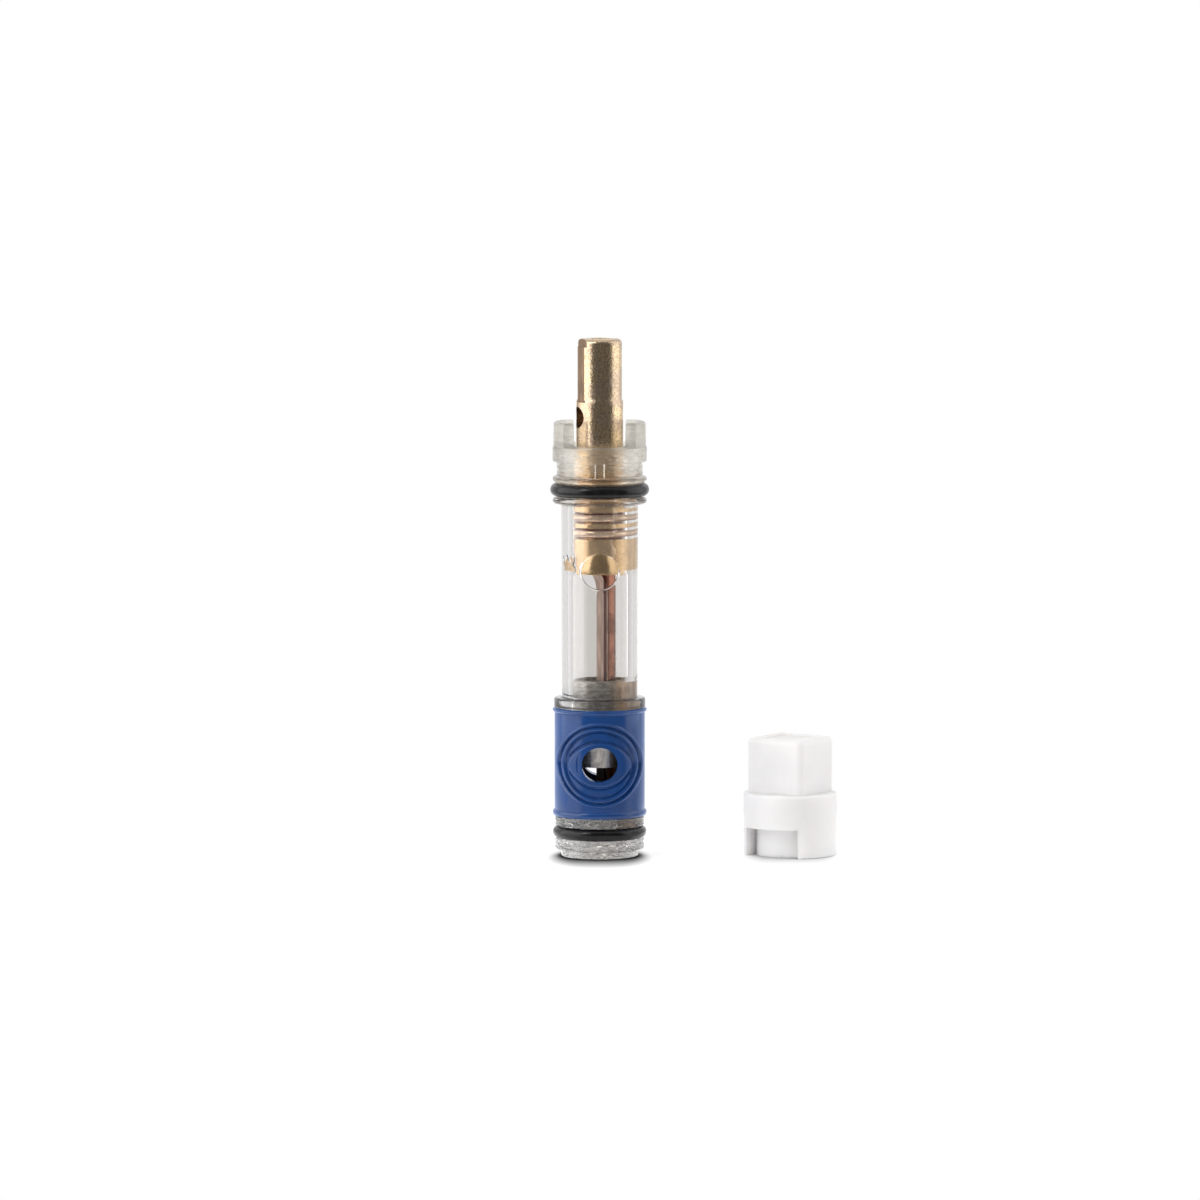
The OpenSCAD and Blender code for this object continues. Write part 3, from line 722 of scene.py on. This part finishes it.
class CARTRIDGE_OT_sleeve(bpy.types.Operator):
    """Clear moulded sleeve with its bore, gland, neck, collar and ears"""
    bl_idname = "cartridge.sleeve"
    bl_label = "Clear sleeve"

    def execute(self, context):
        size = in_mm(context.scene.cartridge_sleeve)
        z = sleeve_levels(size)
        moving = moving_levels(context)
        profile = sleeve_profile(size, moving.stop_z)
        outside, bore = divided(profile[:-1], 1.0, loop=False), divided(profile[-2:], 0.5, loop=False)
        points = turned(np.vstack((outside, bore[1:])), SLEEVE_COLUMNS)
        x, y, level = np.moveaxis(points, -1, 0)
        radius = np.hypot(x, y)
        on_rib = (np.abs(x) < size.rib_w / 2 + 0.1) & (level > z.gland_top) & (level < z.neck_top)
        on_rib &= radius > size.neck_r - 0.01
        new_radius = np.where(on_rib, size.neck_r + size.rib_out, radius)
        in_bore = np.abs(radius - size.bore_r) < 0.001
        stem = in_mm(context.scene.cartridge_stem)
        greased = grease_radius(np.degrees(np.arctan2(x, -y)), level, size.bore_r, stem, moving)
        new_radius = np.where(in_bore, greased, new_radius)
        points[..., :2] *= (new_radius / radius)[..., None]
        piece = grid_piece("clear_sleeve", points)
        for side in (-1, 1):
            edge, far = side * size.ear_w / 2, side * (size.ear_r + 2)
            low = (-2 * size.ear_r, min(edge, far), z.collar_top)
            high = (2 * size.ear_r, max(edge, far), z.ear_top + 2)
            boolean(piece, block("ear_cut", low, high))
        seals = in_mm(context.scene.cartridge_seals)
        port_z = z.land_top + seals.port_up
        boolean(piece, hole_tool("port_cut", seals.lip_r + 0.05, port_z, -2 * size.ear_r, 2 * size.ear_r))
        outlet_z = z.shoulder_top + size.outlet_up
        tube_r = size.tube_low_r + (size.tube_high_r - size.tube_low_r) * size.outlet_up / size.tube_h
        boolean(piece, flared_tool("outlet_cut", size.outlet_r, outlet_z, tube_r, flare=0.3))
        finish_piece(piece, "sleeve_body", "clear_plastic", clear_plastic(size.tint), "sleeve")
        return {"FINISHED"}


def hole_tool(name, radius, level, start_y, end_y):
    """Round bar along Y at a height: (radius cos t, y, level - radius sin t), with a pole at each end."""
    bar = turned(path((0, start_y), (radius, start_y), (radius, end_y), (0, end_y)), CUT_COLUMNS)
    x, down, y = np.moveaxis(bar, -1, 0)
    return grid_piece(name, np.stack((x, y, level - down), axis=-1), loop=False)


def flared_tool(name, radius, level, wall_r, flare):
    """Bar along Y whose mouth flares out to meet a tube of radius wall_r: at each angle the mouth follows
    the tube's own surface, y = -sqrt(wall_r^2 - x^2), and widens there by a quarter round."""
    turn = np.arange(FINE_CUT_COLUMNS) * TURN / FINE_CUT_COLUMNS
    bend = np.radians(np.linspace(0, 90, 9))
    reach = radius + flare * (1 - np.cos(bend))
    x = reach[:, None] * np.cos(turn)
    y = -np.sqrt(wall_r ** 2 - x ** 2) - 0.02 + (flare * (1 - np.sin(bend)))[:, None]
    z = level - reach[:, None] * np.sin(turn)
    mouth = np.stack((x, y, z), axis=-1)
    inner, outer = mouth[:1].copy(), mouth[-1:].copy()
    inner[..., 1], outer[..., 1] = -2, -wall_r - 3
    poles = [np.broadcast_to((0.0, y, level), inner.shape) for y in (-2, -wall_r - 3)]
    return grid_piece(name, np.concatenate((poles[0], inner, mouth, outer, poles[1]))[::-1], loop=False)


# Seals

def o_ring(name, outer_r, section, level):
    """Torus: a circle of half the section, turned about Z at the ring's middle radius."""
    circle = arc(outer_r - section / 2, level, section / 2, 0, 360, 40)[:-1]
    return grid_piece(name, turned(circle, TURNED_COLUMNS))


class CARTRIDGE_OT_body_rings(bpy.types.Operator):
    """The two black O-rings that seal the sleeve in its body"""
    bl_idname = "cartridge.body_rings"
    bl_label = "Body O-rings"

    def execute(self, context):
        seals = in_mm(context.scene.cartridge_seals)
        z = sleeve_levels(in_mm(context.scene.cartridge_sleeve))
        material = rubber("black_rubber", seals.black, stain=1.8, roughness=0.15, shine=0.3)
        rings = (
            ("upper", seals.upper_r, seals.upper_section, (z.flange_top + z.upper_groove_top) / 2),
            ("lower", seals.lower_r, seals.lower_section, (z.base_top + z.lower_groove_top) / 2))
        for name, radius, section, level in rings:
            ring = o_ring(name + "_o_ring", radius, section, level)
            finish_piece(ring, "sleeve_body", "black_rubber", material, name + "_body_o_ring")
        return {"FINISHED"}


def hump(distance, width):
    """Half-round ridge: 1 on its centre line, 0 at half the width and beyond."""
    return np.sqrt(np.clip(1 - (2 * distance / width) ** 2, 0, 1))


def ridge_height(seals, x, z):
    """Height of the seal's ridges at (x, z) seen from the port: two round ridges and a pointed oval, each a
    hump across its distance from a centre line, with a shallow hollow beside each."""
    away = np.hypot(x, z)
    outer = hump(away - (seals.ridge_r - seals.ridge_w / 2), seals.ridge_w)
    inner = hump(away - (seals.ridge_r - 1.5 * seals.ridge_w - seals.ridge_gap), seals.ridge_w)
    arc_r = (seals.lens_x ** 2 + seals.lens_z ** 2) / (2 * seals.lens_z)
    to_edge = arc_r - np.hypot(x, np.abs(z) + arc_r - seals.lens_z)
    oval = np.clip(to_edge / 0.3, 0, 1)
    groove = hump(away - (seals.ridge_r - seals.ridge_w - seals.ridge_gap / 2), seals.ridge_gap + 0.2)
    inside = hump(away - (seals.ridge_r - 2 * seals.ridge_w - seals.ridge_gap - 0.25), 0.5)
    around = hump(to_edge + 0.3, 0.6)
    hollows = np.maximum(np.maximum(groove, inside), around)
    return np.maximum(np.maximum(outer, inner), np.sqrt(1 - (1 - oval) ** 2)) - hollows


class CARTRIDGE_OT_port_seal(bpy.types.Operator):
    """Blue rubber band with ridges round its ports and a lip in each hole of the sleeve"""
    bl_idname = "cartridge.port_seal"
    bl_label = "Port seal"

    def execute(self, context):
        seals = in_mm(context.scene.cartridge_seals)
        z = sleeve_levels(in_mm(context.scene.cartridge_sleeve))
        port_z = z.land_top + seals.port_up
        low, high = z.land_top + 0.05, z.seat_top - 0.05
        outside = divided(path((seals.seal_r, low + 0.2), (seals.seal_r, high - 0.2)), 0.12, loop=False)
        profile = path(
            (seals.inner_r, low), (seals.seal_r - 0.2, low),
            arc(seals.seal_r - 0.2, low + 0.2, 0.2, -90, 0, 3)[1:-1], outside,
            arc(seals.seal_r - 0.2, high - 0.2, 0.2, 0, 90, 3)[1:-1],
            (seals.seal_r - 0.2, high), (seals.inner_r, high))
        points = turned(profile, SEAL_COLUMNS)
        x, y, level = np.moveaxis(points, -1, 0)
        radius = np.hypot(x, y)
        skin = np.clip((radius - seals.seal_r + 0.2) / 0.2, 0, 1)
        relief = ridge_height(seals, x, level - port_z)
        for middle, width in ((low + 0.65, 1.3), (high - 0.4, 0.8)):
            bead = hump(level - middle, width)
            relief = np.where(bead > 0, np.maximum(relief, bead), relief)
        points[..., :2] *= (1 + seals.ridge_out * relief * skin / radius)[..., None]
        piece = grid_piece("port_seal_band", points)
        lip_inside, lip_outside = 5.55, 8.3
        for side in (-1, 1):
            near, far = sorted((side * lip_inside, side * lip_outside))
            boolean(piece, hole_tool("lip", seals.lip_r, port_z, near, far), "UNION")
        boolean(piece, hole_tool("port", seals.port_r, port_z, -12, 12))
        material = rubber("blue_rubber", seals.blue, stain=0.85, roughness=0.1, size=250.0,
                          sheen=(0.1, 0.35, 1.0))
        finish_piece(piece, "sleeve_body", "blue_rubber", material, "port_seal")
        return {"FINISHED"}


# Stem, rod and spool

def moving_levels(context):
    """Heights of the moving pieces at rest, from the outlet down and up."""
    size = in_mm(context.scene.cartridge_sleeve)
    seals = in_mm(context.scene.cartridge_seals)
    stem = in_mm(context.scene.cartridge_stem)
    z = sleeve_levels(size)
    outlet_top = z.shoulder_top + size.outlet_up + size.outlet_r
    lowest_top = outlet_top - stem.ring_up + stem.ring_section / 2 + stem.piston_h
    stop_z = lowest_top + stem.stroke + stem.stop_clear
    piston_top = lowest_top + stem.lifted
    piston_z = piston_top - stem.piston_h
    return SimpleNamespace(
        stop_z=stop_z, piston_top=piston_top, piston_z=piston_z, end_z=piston_top + stem.lower_h,
        top=piston_top + stem.lower_h + stem.end_h, ring_z=piston_z + stem.ring_up,
        window_top=z.land_top + seals.port_up - seals.port_r - stem.window_over + stem.lifted)


def turned_piece(name, profile):
    """Solid of revolution from a profile that starts and ends on the axis."""
    return grid_piece(name, turned(divided(profile, 0.8, loop=False), TURNED_COLUMNS), loop=False)


class CARTRIDGE_OT_stem(bpy.types.Operator):
    """Turned brass stem with its piston, flats, cross hole and tapped end"""
    bl_idname = "cartridge.stem"
    bl_label = "Stem and piston"

    def execute(self, context):
        size = in_mm(context.scene.cartridge_stem)
        z = moving_levels(context)
        groove_h = size.ring_section + 0.4
        groove_r = size.ring_r - size.ring_section - 0.04
        grooves = []
        for ring_z in (z.ring_z, z.ring_z + size.ring_pitch):
            low, high = ring_z - groove_h / 2, ring_z + groove_h / 2
            grooves += [
                (size.piston_r, low - 0.1), (size.piston_r - 0.1, low), (groove_r, low), (groove_r, high),
                (size.piston_r - 0.1, high), (size.piston_r, high + 0.1)]
        profile = path(
            (0, z.piston_z), rounded_corner(size.piston_r, z.piston_z, 0.35, -90),
            grooves, rounded_corner(size.piston_r, z.piston_top, 0.35, 0),
            (size.stem_r, z.piston_top), (size.stem_r, z.end_z - 0.3), (size.end_r, z.end_z + 0.1),
            arc(size.end_r - size.top_round, z.top - size.top_round, size.top_round, 0, 90, 10),
            (size.screw_hole_r + 0.3, z.top), (size.screw_hole_r, z.top - 0.3),
            (size.screw_hole_r, z.top - size.screw_hole_deep), (0, z.top - size.screw_hole_deep))
        piece = turned_piece("brass_stem", profile)
        for distance, level in ((size.flat_at, z.end_z - 0.45), (size.notch_at, z.top - size.notch_h)):
            tool = block("flat_cut", (distance, -6, level), (8, 6, z.top + 1))
            boolean(piece, turn_about_z(tool, FLAT_TURN))
        hole = hole_tool("cross_hole", size.cross_hole_r, z.piston_top + size.cross_hole_up, -8, 8)
        boolean(piece, turn_about_z(hole, FLAT_TURN + math.pi / 2))
        mark_flat(piece, 0.999)
        tarnish = scaled(size.brass, 0.78, 0.8, 0.95)
        kit = metal("brass", size.brass, tarnish, roughness=0.18, stretch=12.0, speck=0.6,
                    dull=(0.33, 0.22, 0.14))
        greased = (0.76, 0.53, 0.3)
        lay_over(kit, greased, ("Z", z.piston_top + 0.5, z.piston_top - 0.5), stain=0.88)
        finish_piece(piece, "stem_body", "brass", kit.material, "stem")
        return {"FINISHED"}


class CARTRIDGE_OT_piston_rings(bpy.types.Operator):
    """The two greased O-rings on the piston"""
    bl_idname = "cartridge.piston_rings"
    bl_label = "Piston O-rings"

    def execute(self, context):
        size = in_mm(context.scene.cartridge_stem)
        z = moving_levels(context)
        material = greased_ring(size, z)
        for name, level in (("lower", z.ring_z), ("upper", z.ring_z + size.ring_pitch)):
            ring = o_ring(name + "_piston_ring", size.ring_r, size.ring_section, level)
            finish_piece(ring, "piston_rings", "brown_rubber", material, name + "_piston_o_ring")
        return {"FINISHED"}


class CARTRIDGE_OT_rod(bpy.types.Operator):
    """Half-round rod that joins the spool to the piston"""
    bl_idname = "cartridge.rod"
    bl_label = "Connecting rod"

    def execute(self, context):
        size = in_mm(context.scene.cartridge_stem)
        z = moving_levels(context)
        floor_z, top_z = size.spool_z + size.spool_floor, z.piston_z + 0.5
        runout_z = z.piston_z - 2 * size.runout_r / 3
        levels = np.concatenate((np.linspace(floor_z, runout_z, 40), np.linspace(runout_z, top_z, 24)[1:]))
        up = np.clip(levels - runout_z, 0, size.runout_r * 0.999)
        cut = size.runout_r - size.rod_cut - np.sqrt(size.runout_r ** 2 - up ** 2)
        cut = np.clip(cut, -size.rod_r, size.rod_r * 0.995)[:, None]
        half = np.arccos(cut / size.rod_r)
        sweep = half + (TURN - 2 * half) * np.linspace(0, 1, 97)
        chord = np.linspace(-1, 1, 34)[1:-1] * np.sin(half)
        x = np.hstack((size.rod_r * np.cos(sweep), np.broadcast_to(cut, chord.shape)))
        y = np.hstack((size.rod_r * np.sin(sweep), size.rod_r * chord))
        points = np.stack((x, y, np.broadcast_to(levels[:, None], x.shape)), axis=-1)
        ends = [np.broadcast_to((-1.5, 0.0, level), points[:1].shape) for level in (floor_z, top_z)]
        piece = grid_piece("half_round_rod", np.concatenate((ends[0], points, ends[1])), loop=False)
        turn_about_z(piece, FLAT_TURN)
        mark_flat(piece, 0.3)
        tarnish = scaled(size.copper, 0.6)
        kit = metal("copper_rod", size.copper, tarnish, roughness=0.2, stretch=0.1, speck=0.2,
                    dull=(0.58, 0.43, 0.36))
        # Painted dark reflection: a dark red stripe just right of the flat's edge stands in for the rounded
        # side reflecting the dark front.
        painted_dark_reflection_stripe = (0.1, 0.025, 0.018)
        lay_over(kit, painted_dark_reflection_stripe, ("X", 0.72, 0.82), ("X", 1.5, 1.2))
        finish_piece(piece, "stem_body", "copper_rod", kit.material, "connecting_rod")
        return {"FINISHED"}


def window_tool(name, width, height, corner, level, reach):
    """Bar along Y with a rounded rectangle for its section, centred at a height."""
    half_w, half_h = width / 2 - corner, height / 2 - corner
    middles = [(half_w, half_h, 0), (-half_w, half_h, 90), (-half_w, -half_h, 180), (half_w, -half_h, 270)]
    outline = np.vstack([arc(x, z, corner, start, start + 90, 6) for x, z, start in middles])
    rows = [np.column_stack((outline[:, 0], np.full(len(outline), y), level - outline[:, 1]))
            for y in (-reach, reach)]
    poles = [np.broadcast_to((0.0, y, level), rows[0].shape) for y in (-reach, reach)]
    return grid_piece(name, np.array([poles[0], rows[0], rows[1], poles[1]]), loop=False)


class CARTRIDGE_OT_spool(bpy.types.Operator):
    """Drawn steel cup with a window towards each port"""
    bl_idname = "cartridge.spool"
    bl_label = "Spool"

    def execute(self, context):
        size = in_mm(context.scene.cartridge_stem)
        z = moving_levels(context)
        bottom, top = size.spool_z, size.spool_z + size.spool_h
        inner_r = size.spool_r - size.spool_wall
        profile = path(
            (0, bottom), rounded_corner(size.spool_r, bottom, 0.3, -90),
            arc(size.spool_r - 0.6, top - 0.6, 0.6, 0, 90), arc(inner_r + 0.15, top - 0.15, 0.15, 90, 180, 3),
            arc(inner_r - 0.4, bottom + size.spool_floor + 0.4, 0.4, 0, -90), (0, bottom + size.spool_floor))
        piece = turned_piece("steel_spool", profile)
        window_z = z.window_top - size.window_h / 2
        boolean(piece, window_tool("window", size.window_w, size.window_h, corner=1, level=window_z, reach=8))
        tab = block("rim_tab", (inner_r + 0.05, -0.65, top - 0.5), (size.spool_r - 0.3, 0.65, top + 0.45))
        boolean(piece, turn_about_z(tab, math.radians(-23)), "UNION")
        tarnish = scaled(size.steel, 0.55)
        kit = metal("spool_steel", size.steel, tarnish, roughness=0.36, stretch=6.0, speck=0.4,
                    metallic=0.75, patch=900.0)
        brown, painted_port_highlight = (0.42, 0.29, 0.19), (0.95, 0.88, 0.8)
        lay_over(kit, brown, ("X", 0.6, 4.2))
        # Painted highlight: a pale patch on the spool's front and back below 25 mm, under the ports, stands
        # in for light from the front.
        lay_over(kit, painted_port_highlight, ("X", -1.9, -1.6), ("X", 2.2, 1.8), ("Z", 26.0, 25.0))
        finish_piece(piece, "stem_body", "spool_steel", kit.material, "spool")
        return {"FINISHED"}


# Turning cap

def round_square(width, corner, turn):
    """Distance from the middle to the edge of a square with round corners, at each angle: half the width over
    the larger of |cos t| and |sin t| on a side, and out to the corner's circle elsewhere."""
    c, s = np.abs(np.cos(turn)), np.abs(np.sin(turn))
    inset = width / 2 - corner
    side = width / 2 / np.maximum(c, s)
    along = side * np.minimum(c, s)
    across = np.clip(corner ** 2 - inset ** 2 * (c - s) ** 2, 0, None)
    return np.where(along > inset, inset * (c + s) + np.sqrt(across), side)


class CARTRIDGE_OT_cap(bpy.types.Operator):
    """Loose white cap: round skirt with two recesses and a square head with a dished top"""
    bl_idname = "cartridge.cap"
    bl_label = "Turning cap"

    def execute(self, context):
        size = in_mm(context.scene.cartridge_cap)
        turn = np.arange(CAP_COLUMNS) * TURN / CAP_COLUMNS
        top = size.skirt_h + size.head_h
        roof = top - size.dish - size.top_wall

        def rounds(profile):
            return [(np.full(CAP_COLUMNS, r), z) for r, z in profile]

        def squares(insets):
            return [
                (round_square(size.head_w - 2 * inset, max(size.corner - inset, 0.3), turn), z)
                for inset, z in insets]

        bend = np.radians(np.linspace(0, 90, 9))
        top_edge = [(size.top_round * (1 - np.cos(a)), top - size.top_round * (1 - np.sin(a))) for a in bend]
        rim = size.dish_rim
        rows = rounds(divided(path(
            (0, roof), (size.bore_r, roof), (size.bore_r, 0.3), (size.bore_r + 0.3, 0),
            rounded_corner(size.skirt_r, 0, 0.4, -90),
            rounded_corner(size.skirt_r, size.skirt_h, 0.35, 0)), 0.9, loop=False))
        rows += squares([(-0.25, size.skirt_h), (-0.07, size.skirt_h + 0.07), (0, size.skirt_h + 0.25)])
        rows += squares([(0, size.skirt_h + 0.25 + k) for k in np.linspace(0.8, size.head_h - 1.6, 12)])
        rows += squares(top_edge)
        rows += squares([
            (rim - 0.15, top), (rim, top - 0.08), (rim + 0.12, top - size.dish + 0.1),
            (rim + 0.35, top - size.dish)])
        insets = np.linspace(rim + 1.2, size.head_w / 2 - 0.4, 5)
        rows += squares([(inset, top - size.dish) for inset in insets])
        rows += rounds([(0, top - size.dish)])
        points = np.array([
            np.stack((r * np.cos(turn), r * np.sin(turn), np.full(CAP_COLUMNS, z)), -1) for r, z in rows])
        piece = grid_piece("white_turning_cap", points, loop=False)
        for side in (-1, 1):
            near, far = sorted((side * size.hub_r * 0.5, side * (size.skirt_r + 2)))
            tool = block("recess", (near, -size.recess_w / 2, -1), (far, size.recess_w / 2, size.recess_h))
            hub = path((0, -2), (size.hub_r, -2), (size.hub_r, size.recess_h + 2), (0, size.recess_h + 2))
            hub = turned(divided(hub, 4, loop=False), FINE_CUT_COLUMNS)
            boolean(piece, boolean(tool, grid_piece("hub", hub, loop=False)))
        turn_about_z(piece, context.scene.cartridge_cap.turn, (size.place_x, size.place_y))
        finish_piece(piece, "cap_body", "white_plastic", white_plastic(size.white), "turning_cap")
        return {"FINISHED"}


# Studio

def aim(holder, place, target):
    """Puts a lamp or the camera at a place and points it at a target."""
    holder.location = place
    holder.rotation_euler = (Vector(target) - Vector(place)).to_track_quat("-Z", "Y").to_euler()


def softbox(name, place, size, power):
    """Rectangular area lamp aimed at the cartridge."""
    lamp = bpy.data.lights.new(name, "AREA")
    lamp.shape = "RECTANGLE"
    lamp.size, lamp.size_y = size
    lamp.energy = power
    holder = add_object(name, lamp)
    aim(holder, place, LAMP_AIM)
    holder.visible_camera = False


def studio_world():
    """White to the camera. To gloss and clear plastic a white room with a darker side behind the camera."""
    world = bpy.data.worlds.new("studio")
    bpy.context.scene.world = world
    world.use_nodes = True
    kit = world.node_tree
    direction = add_node(kit, "TexCoord").outputs["Generated"]
    rays = add_node(kit, "LightPath").outputs
    level = room_level(kit, direction, rays["Is Transmission Ray"])
    fill = math_node(kit, "MULTIPLY_ADD", level, 0.45, 0.42)
    light = mix_node(kit, rays["Is Diffuse Ray"], level, fill)
    feed(kit, kit.nodes["Background"].inputs["Color"], mix_node(kit, rays["Is Camera Ray"], light, 1.0))


def contact_shadow(kit):
    """Share of the light left beside a foot: ambient occlusion raised to a power, which is lower at the cap
    and fades out round each foot. X folds at half the cap's distance, so that one oval serves both feet."""
    half_way = bpy.context.scene.cartridge_cap.place_x / 2
    axes = object_axes(kit)
    corner = add_node(kit, "AmbientOcclusion", {"Distance": 16 * MM}).outputs["AO"]
    depth = map_range(kit, axes["X"], 15 * MM, 25 * MM, 4.6, 0.9)
    fold = math_node(kit, "PINGPONG", axes["X"], half_way)
    ahead = math_node(kit, "MULTIPLY_ADD", axes["Y"], 0.44, 2.7 * MM)
    spot = add_node(kit, "CombineXYZ", {"X": fold, "Y": ahead}).outputs[0]
    away = vector_node(kit, "LENGTH", spot)["Value"]
    power = map_range(kit, away, 5.4 * MM, 11.2 * MM, depth, 0.0, smooth=True)
    return math_node(kit, "POWER", corner, power)


def floor_material():
    """Pale floor that keeps the shadows near the object and turns into plain white further out. Gloss and
    clear plastic see the room in it, and the camera sees its contact shadows."""
    kit = new_material("pale_floor")
    place = add_node(kit, "TexCoord").outputs["Object"]
    rays = add_node(kit, "LightPath").outputs
    camera, through = rays["Is Camera Ray"], rays["Is Transmission Ray"]
    far = map_range(kit, vector_node(kit, "LENGTH", place)["Value"], 55 * MM, 120 * MM, smooth=True)
    level = room_level(kit, vector_node(kit, "NORMALIZE", place)["Vector"], through)
    mirrored = math_node(kit, "MAXIMUM", through, rays["Is Glossy Ray"])
    seen = math_node(kit, "MAXIMUM", math_node(kit, "MULTIPLY", mirrored, level), camera)
    near_glow = map_range(kit, mirrored, low=0.78, high=0.9)
    glow = math_node(kit, "MULTIPLY", map_range(kit, far, low=near_glow), seen)
    shadow = contact_shadow(kit)
    glow = math_node(kit, "MULTIPLY", glow, mix_node(kit, camera, 1.0, shadow))
    under_shadow = mix_node(kit, camera, WHITE, math_node(kit, "MULTIPLY", shadow, 0.35), "RGBA")
    unlit = math_node(kit, "MULTIPLY", far, math_node(kit, "MAXIMUM", mirrored, camera))
    set_shader(kit, Base_Color=mix_node(kit, unlit, under_shadow, BLACK, "RGBA"), Roughness=0.8,
               Specular_IOR_Level=0.0, Emission_Color=glow, Emission_Strength=1.0)
    return kit.material


class CARTRIDGE_OT_stage(bpy.types.Operator):
    """Pale floor, soft lamps, white surroundings and the camera"""
    bl_idname = "cartridge.stage"
    bl_label = "Studio"

    def execute(self, context):
        scene = context.scene
        studio = scene.cartridge_studio
        disc = turned(path((FLOOR_R, 0)), CUT_COLUMNS)[0]
        floor = mesh_object("floor", disc, [list(range(CUT_COLUMNS))])
        floor.data.materials.append(floor_material())
        for lamp in LAMPS:
            softbox(*lamp)
        studio_world()
        target = Vector((studio.aim_x, 0, studio.aim_z))
        back = Vector((0, -math.cos(studio.elevation), math.sin(studio.elevation)))
        lens = bpy.data.cameras.new("camera")
        lens.sensor_width = 36
        lens.lens = lens.sensor_width * studio.distance / studio.view_w
        lens.clip_start = 0.05
        lens.clip_end = 50
        scene.camera = add_object("camera", lens)
        aim(scene.camera, target + back * studio.distance, target)
        scene.view_settings.view_transform = "Standard"
        return {"FINISHED"}


# Panel and registration

OPERATORS = (
    CARTRIDGE_OT_sleeve, CARTRIDGE_OT_body_rings, CARTRIDGE_OT_port_seal, CARTRIDGE_OT_stem,
    CARTRIDGE_OT_piston_rings, CARTRIDGE_OT_rod, CARTRIDGE_OT_spool, CARTRIDGE_OT_cap, CARTRIDGE_OT_stage)

SETTINGS = {
    "cartridge_sleeve": SleeveSettings,
    "cartridge_seals": SealSettings,
    "cartridge_stem": StemSettings,
    "cartridge_cap": CapSettings,
    "cartridge_studio": StudioSettings,
}


class CARTRIDGE_PT_panel(bpy.types.Panel):
    bl_idname = "CARTRIDGE_PT_panel"
    bl_label = "Tap cartridge"
    bl_space_type = "VIEW_3D"
    bl_region_type = "UI"
    bl_category = "Cartridge"

    def draw(self, context):
        for operator in OPERATORS:
            self.layout.operator(operator.bl_idname)


def register():
    for name, group in SETTINGS.items():
        bpy.utils.register_class(group)
        setattr(bpy.types.Scene, name, bpy.props.PointerProperty(type=group))
    for kind in OPERATORS + (CARTRIDGE_PT_panel,):
        bpy.utils.register_class(kind)


def unregister():
    for kind in (CARTRIDGE_PT_panel,) + OPERATORS[::-1]:
        bpy.utils.unregister_class(kind)
    for name, group in SETTINGS.items():
        delattr(bpy.types.Scene, name)
        bpy.utils.unregister_class(group)


def main():
    register()
    for operator in OPERATORS:
        call = operator.bl_idname.split(".")
        getattr(getattr(bpy.ops, call[0]), call[1])()


if __name__ == "__main__":
    main()
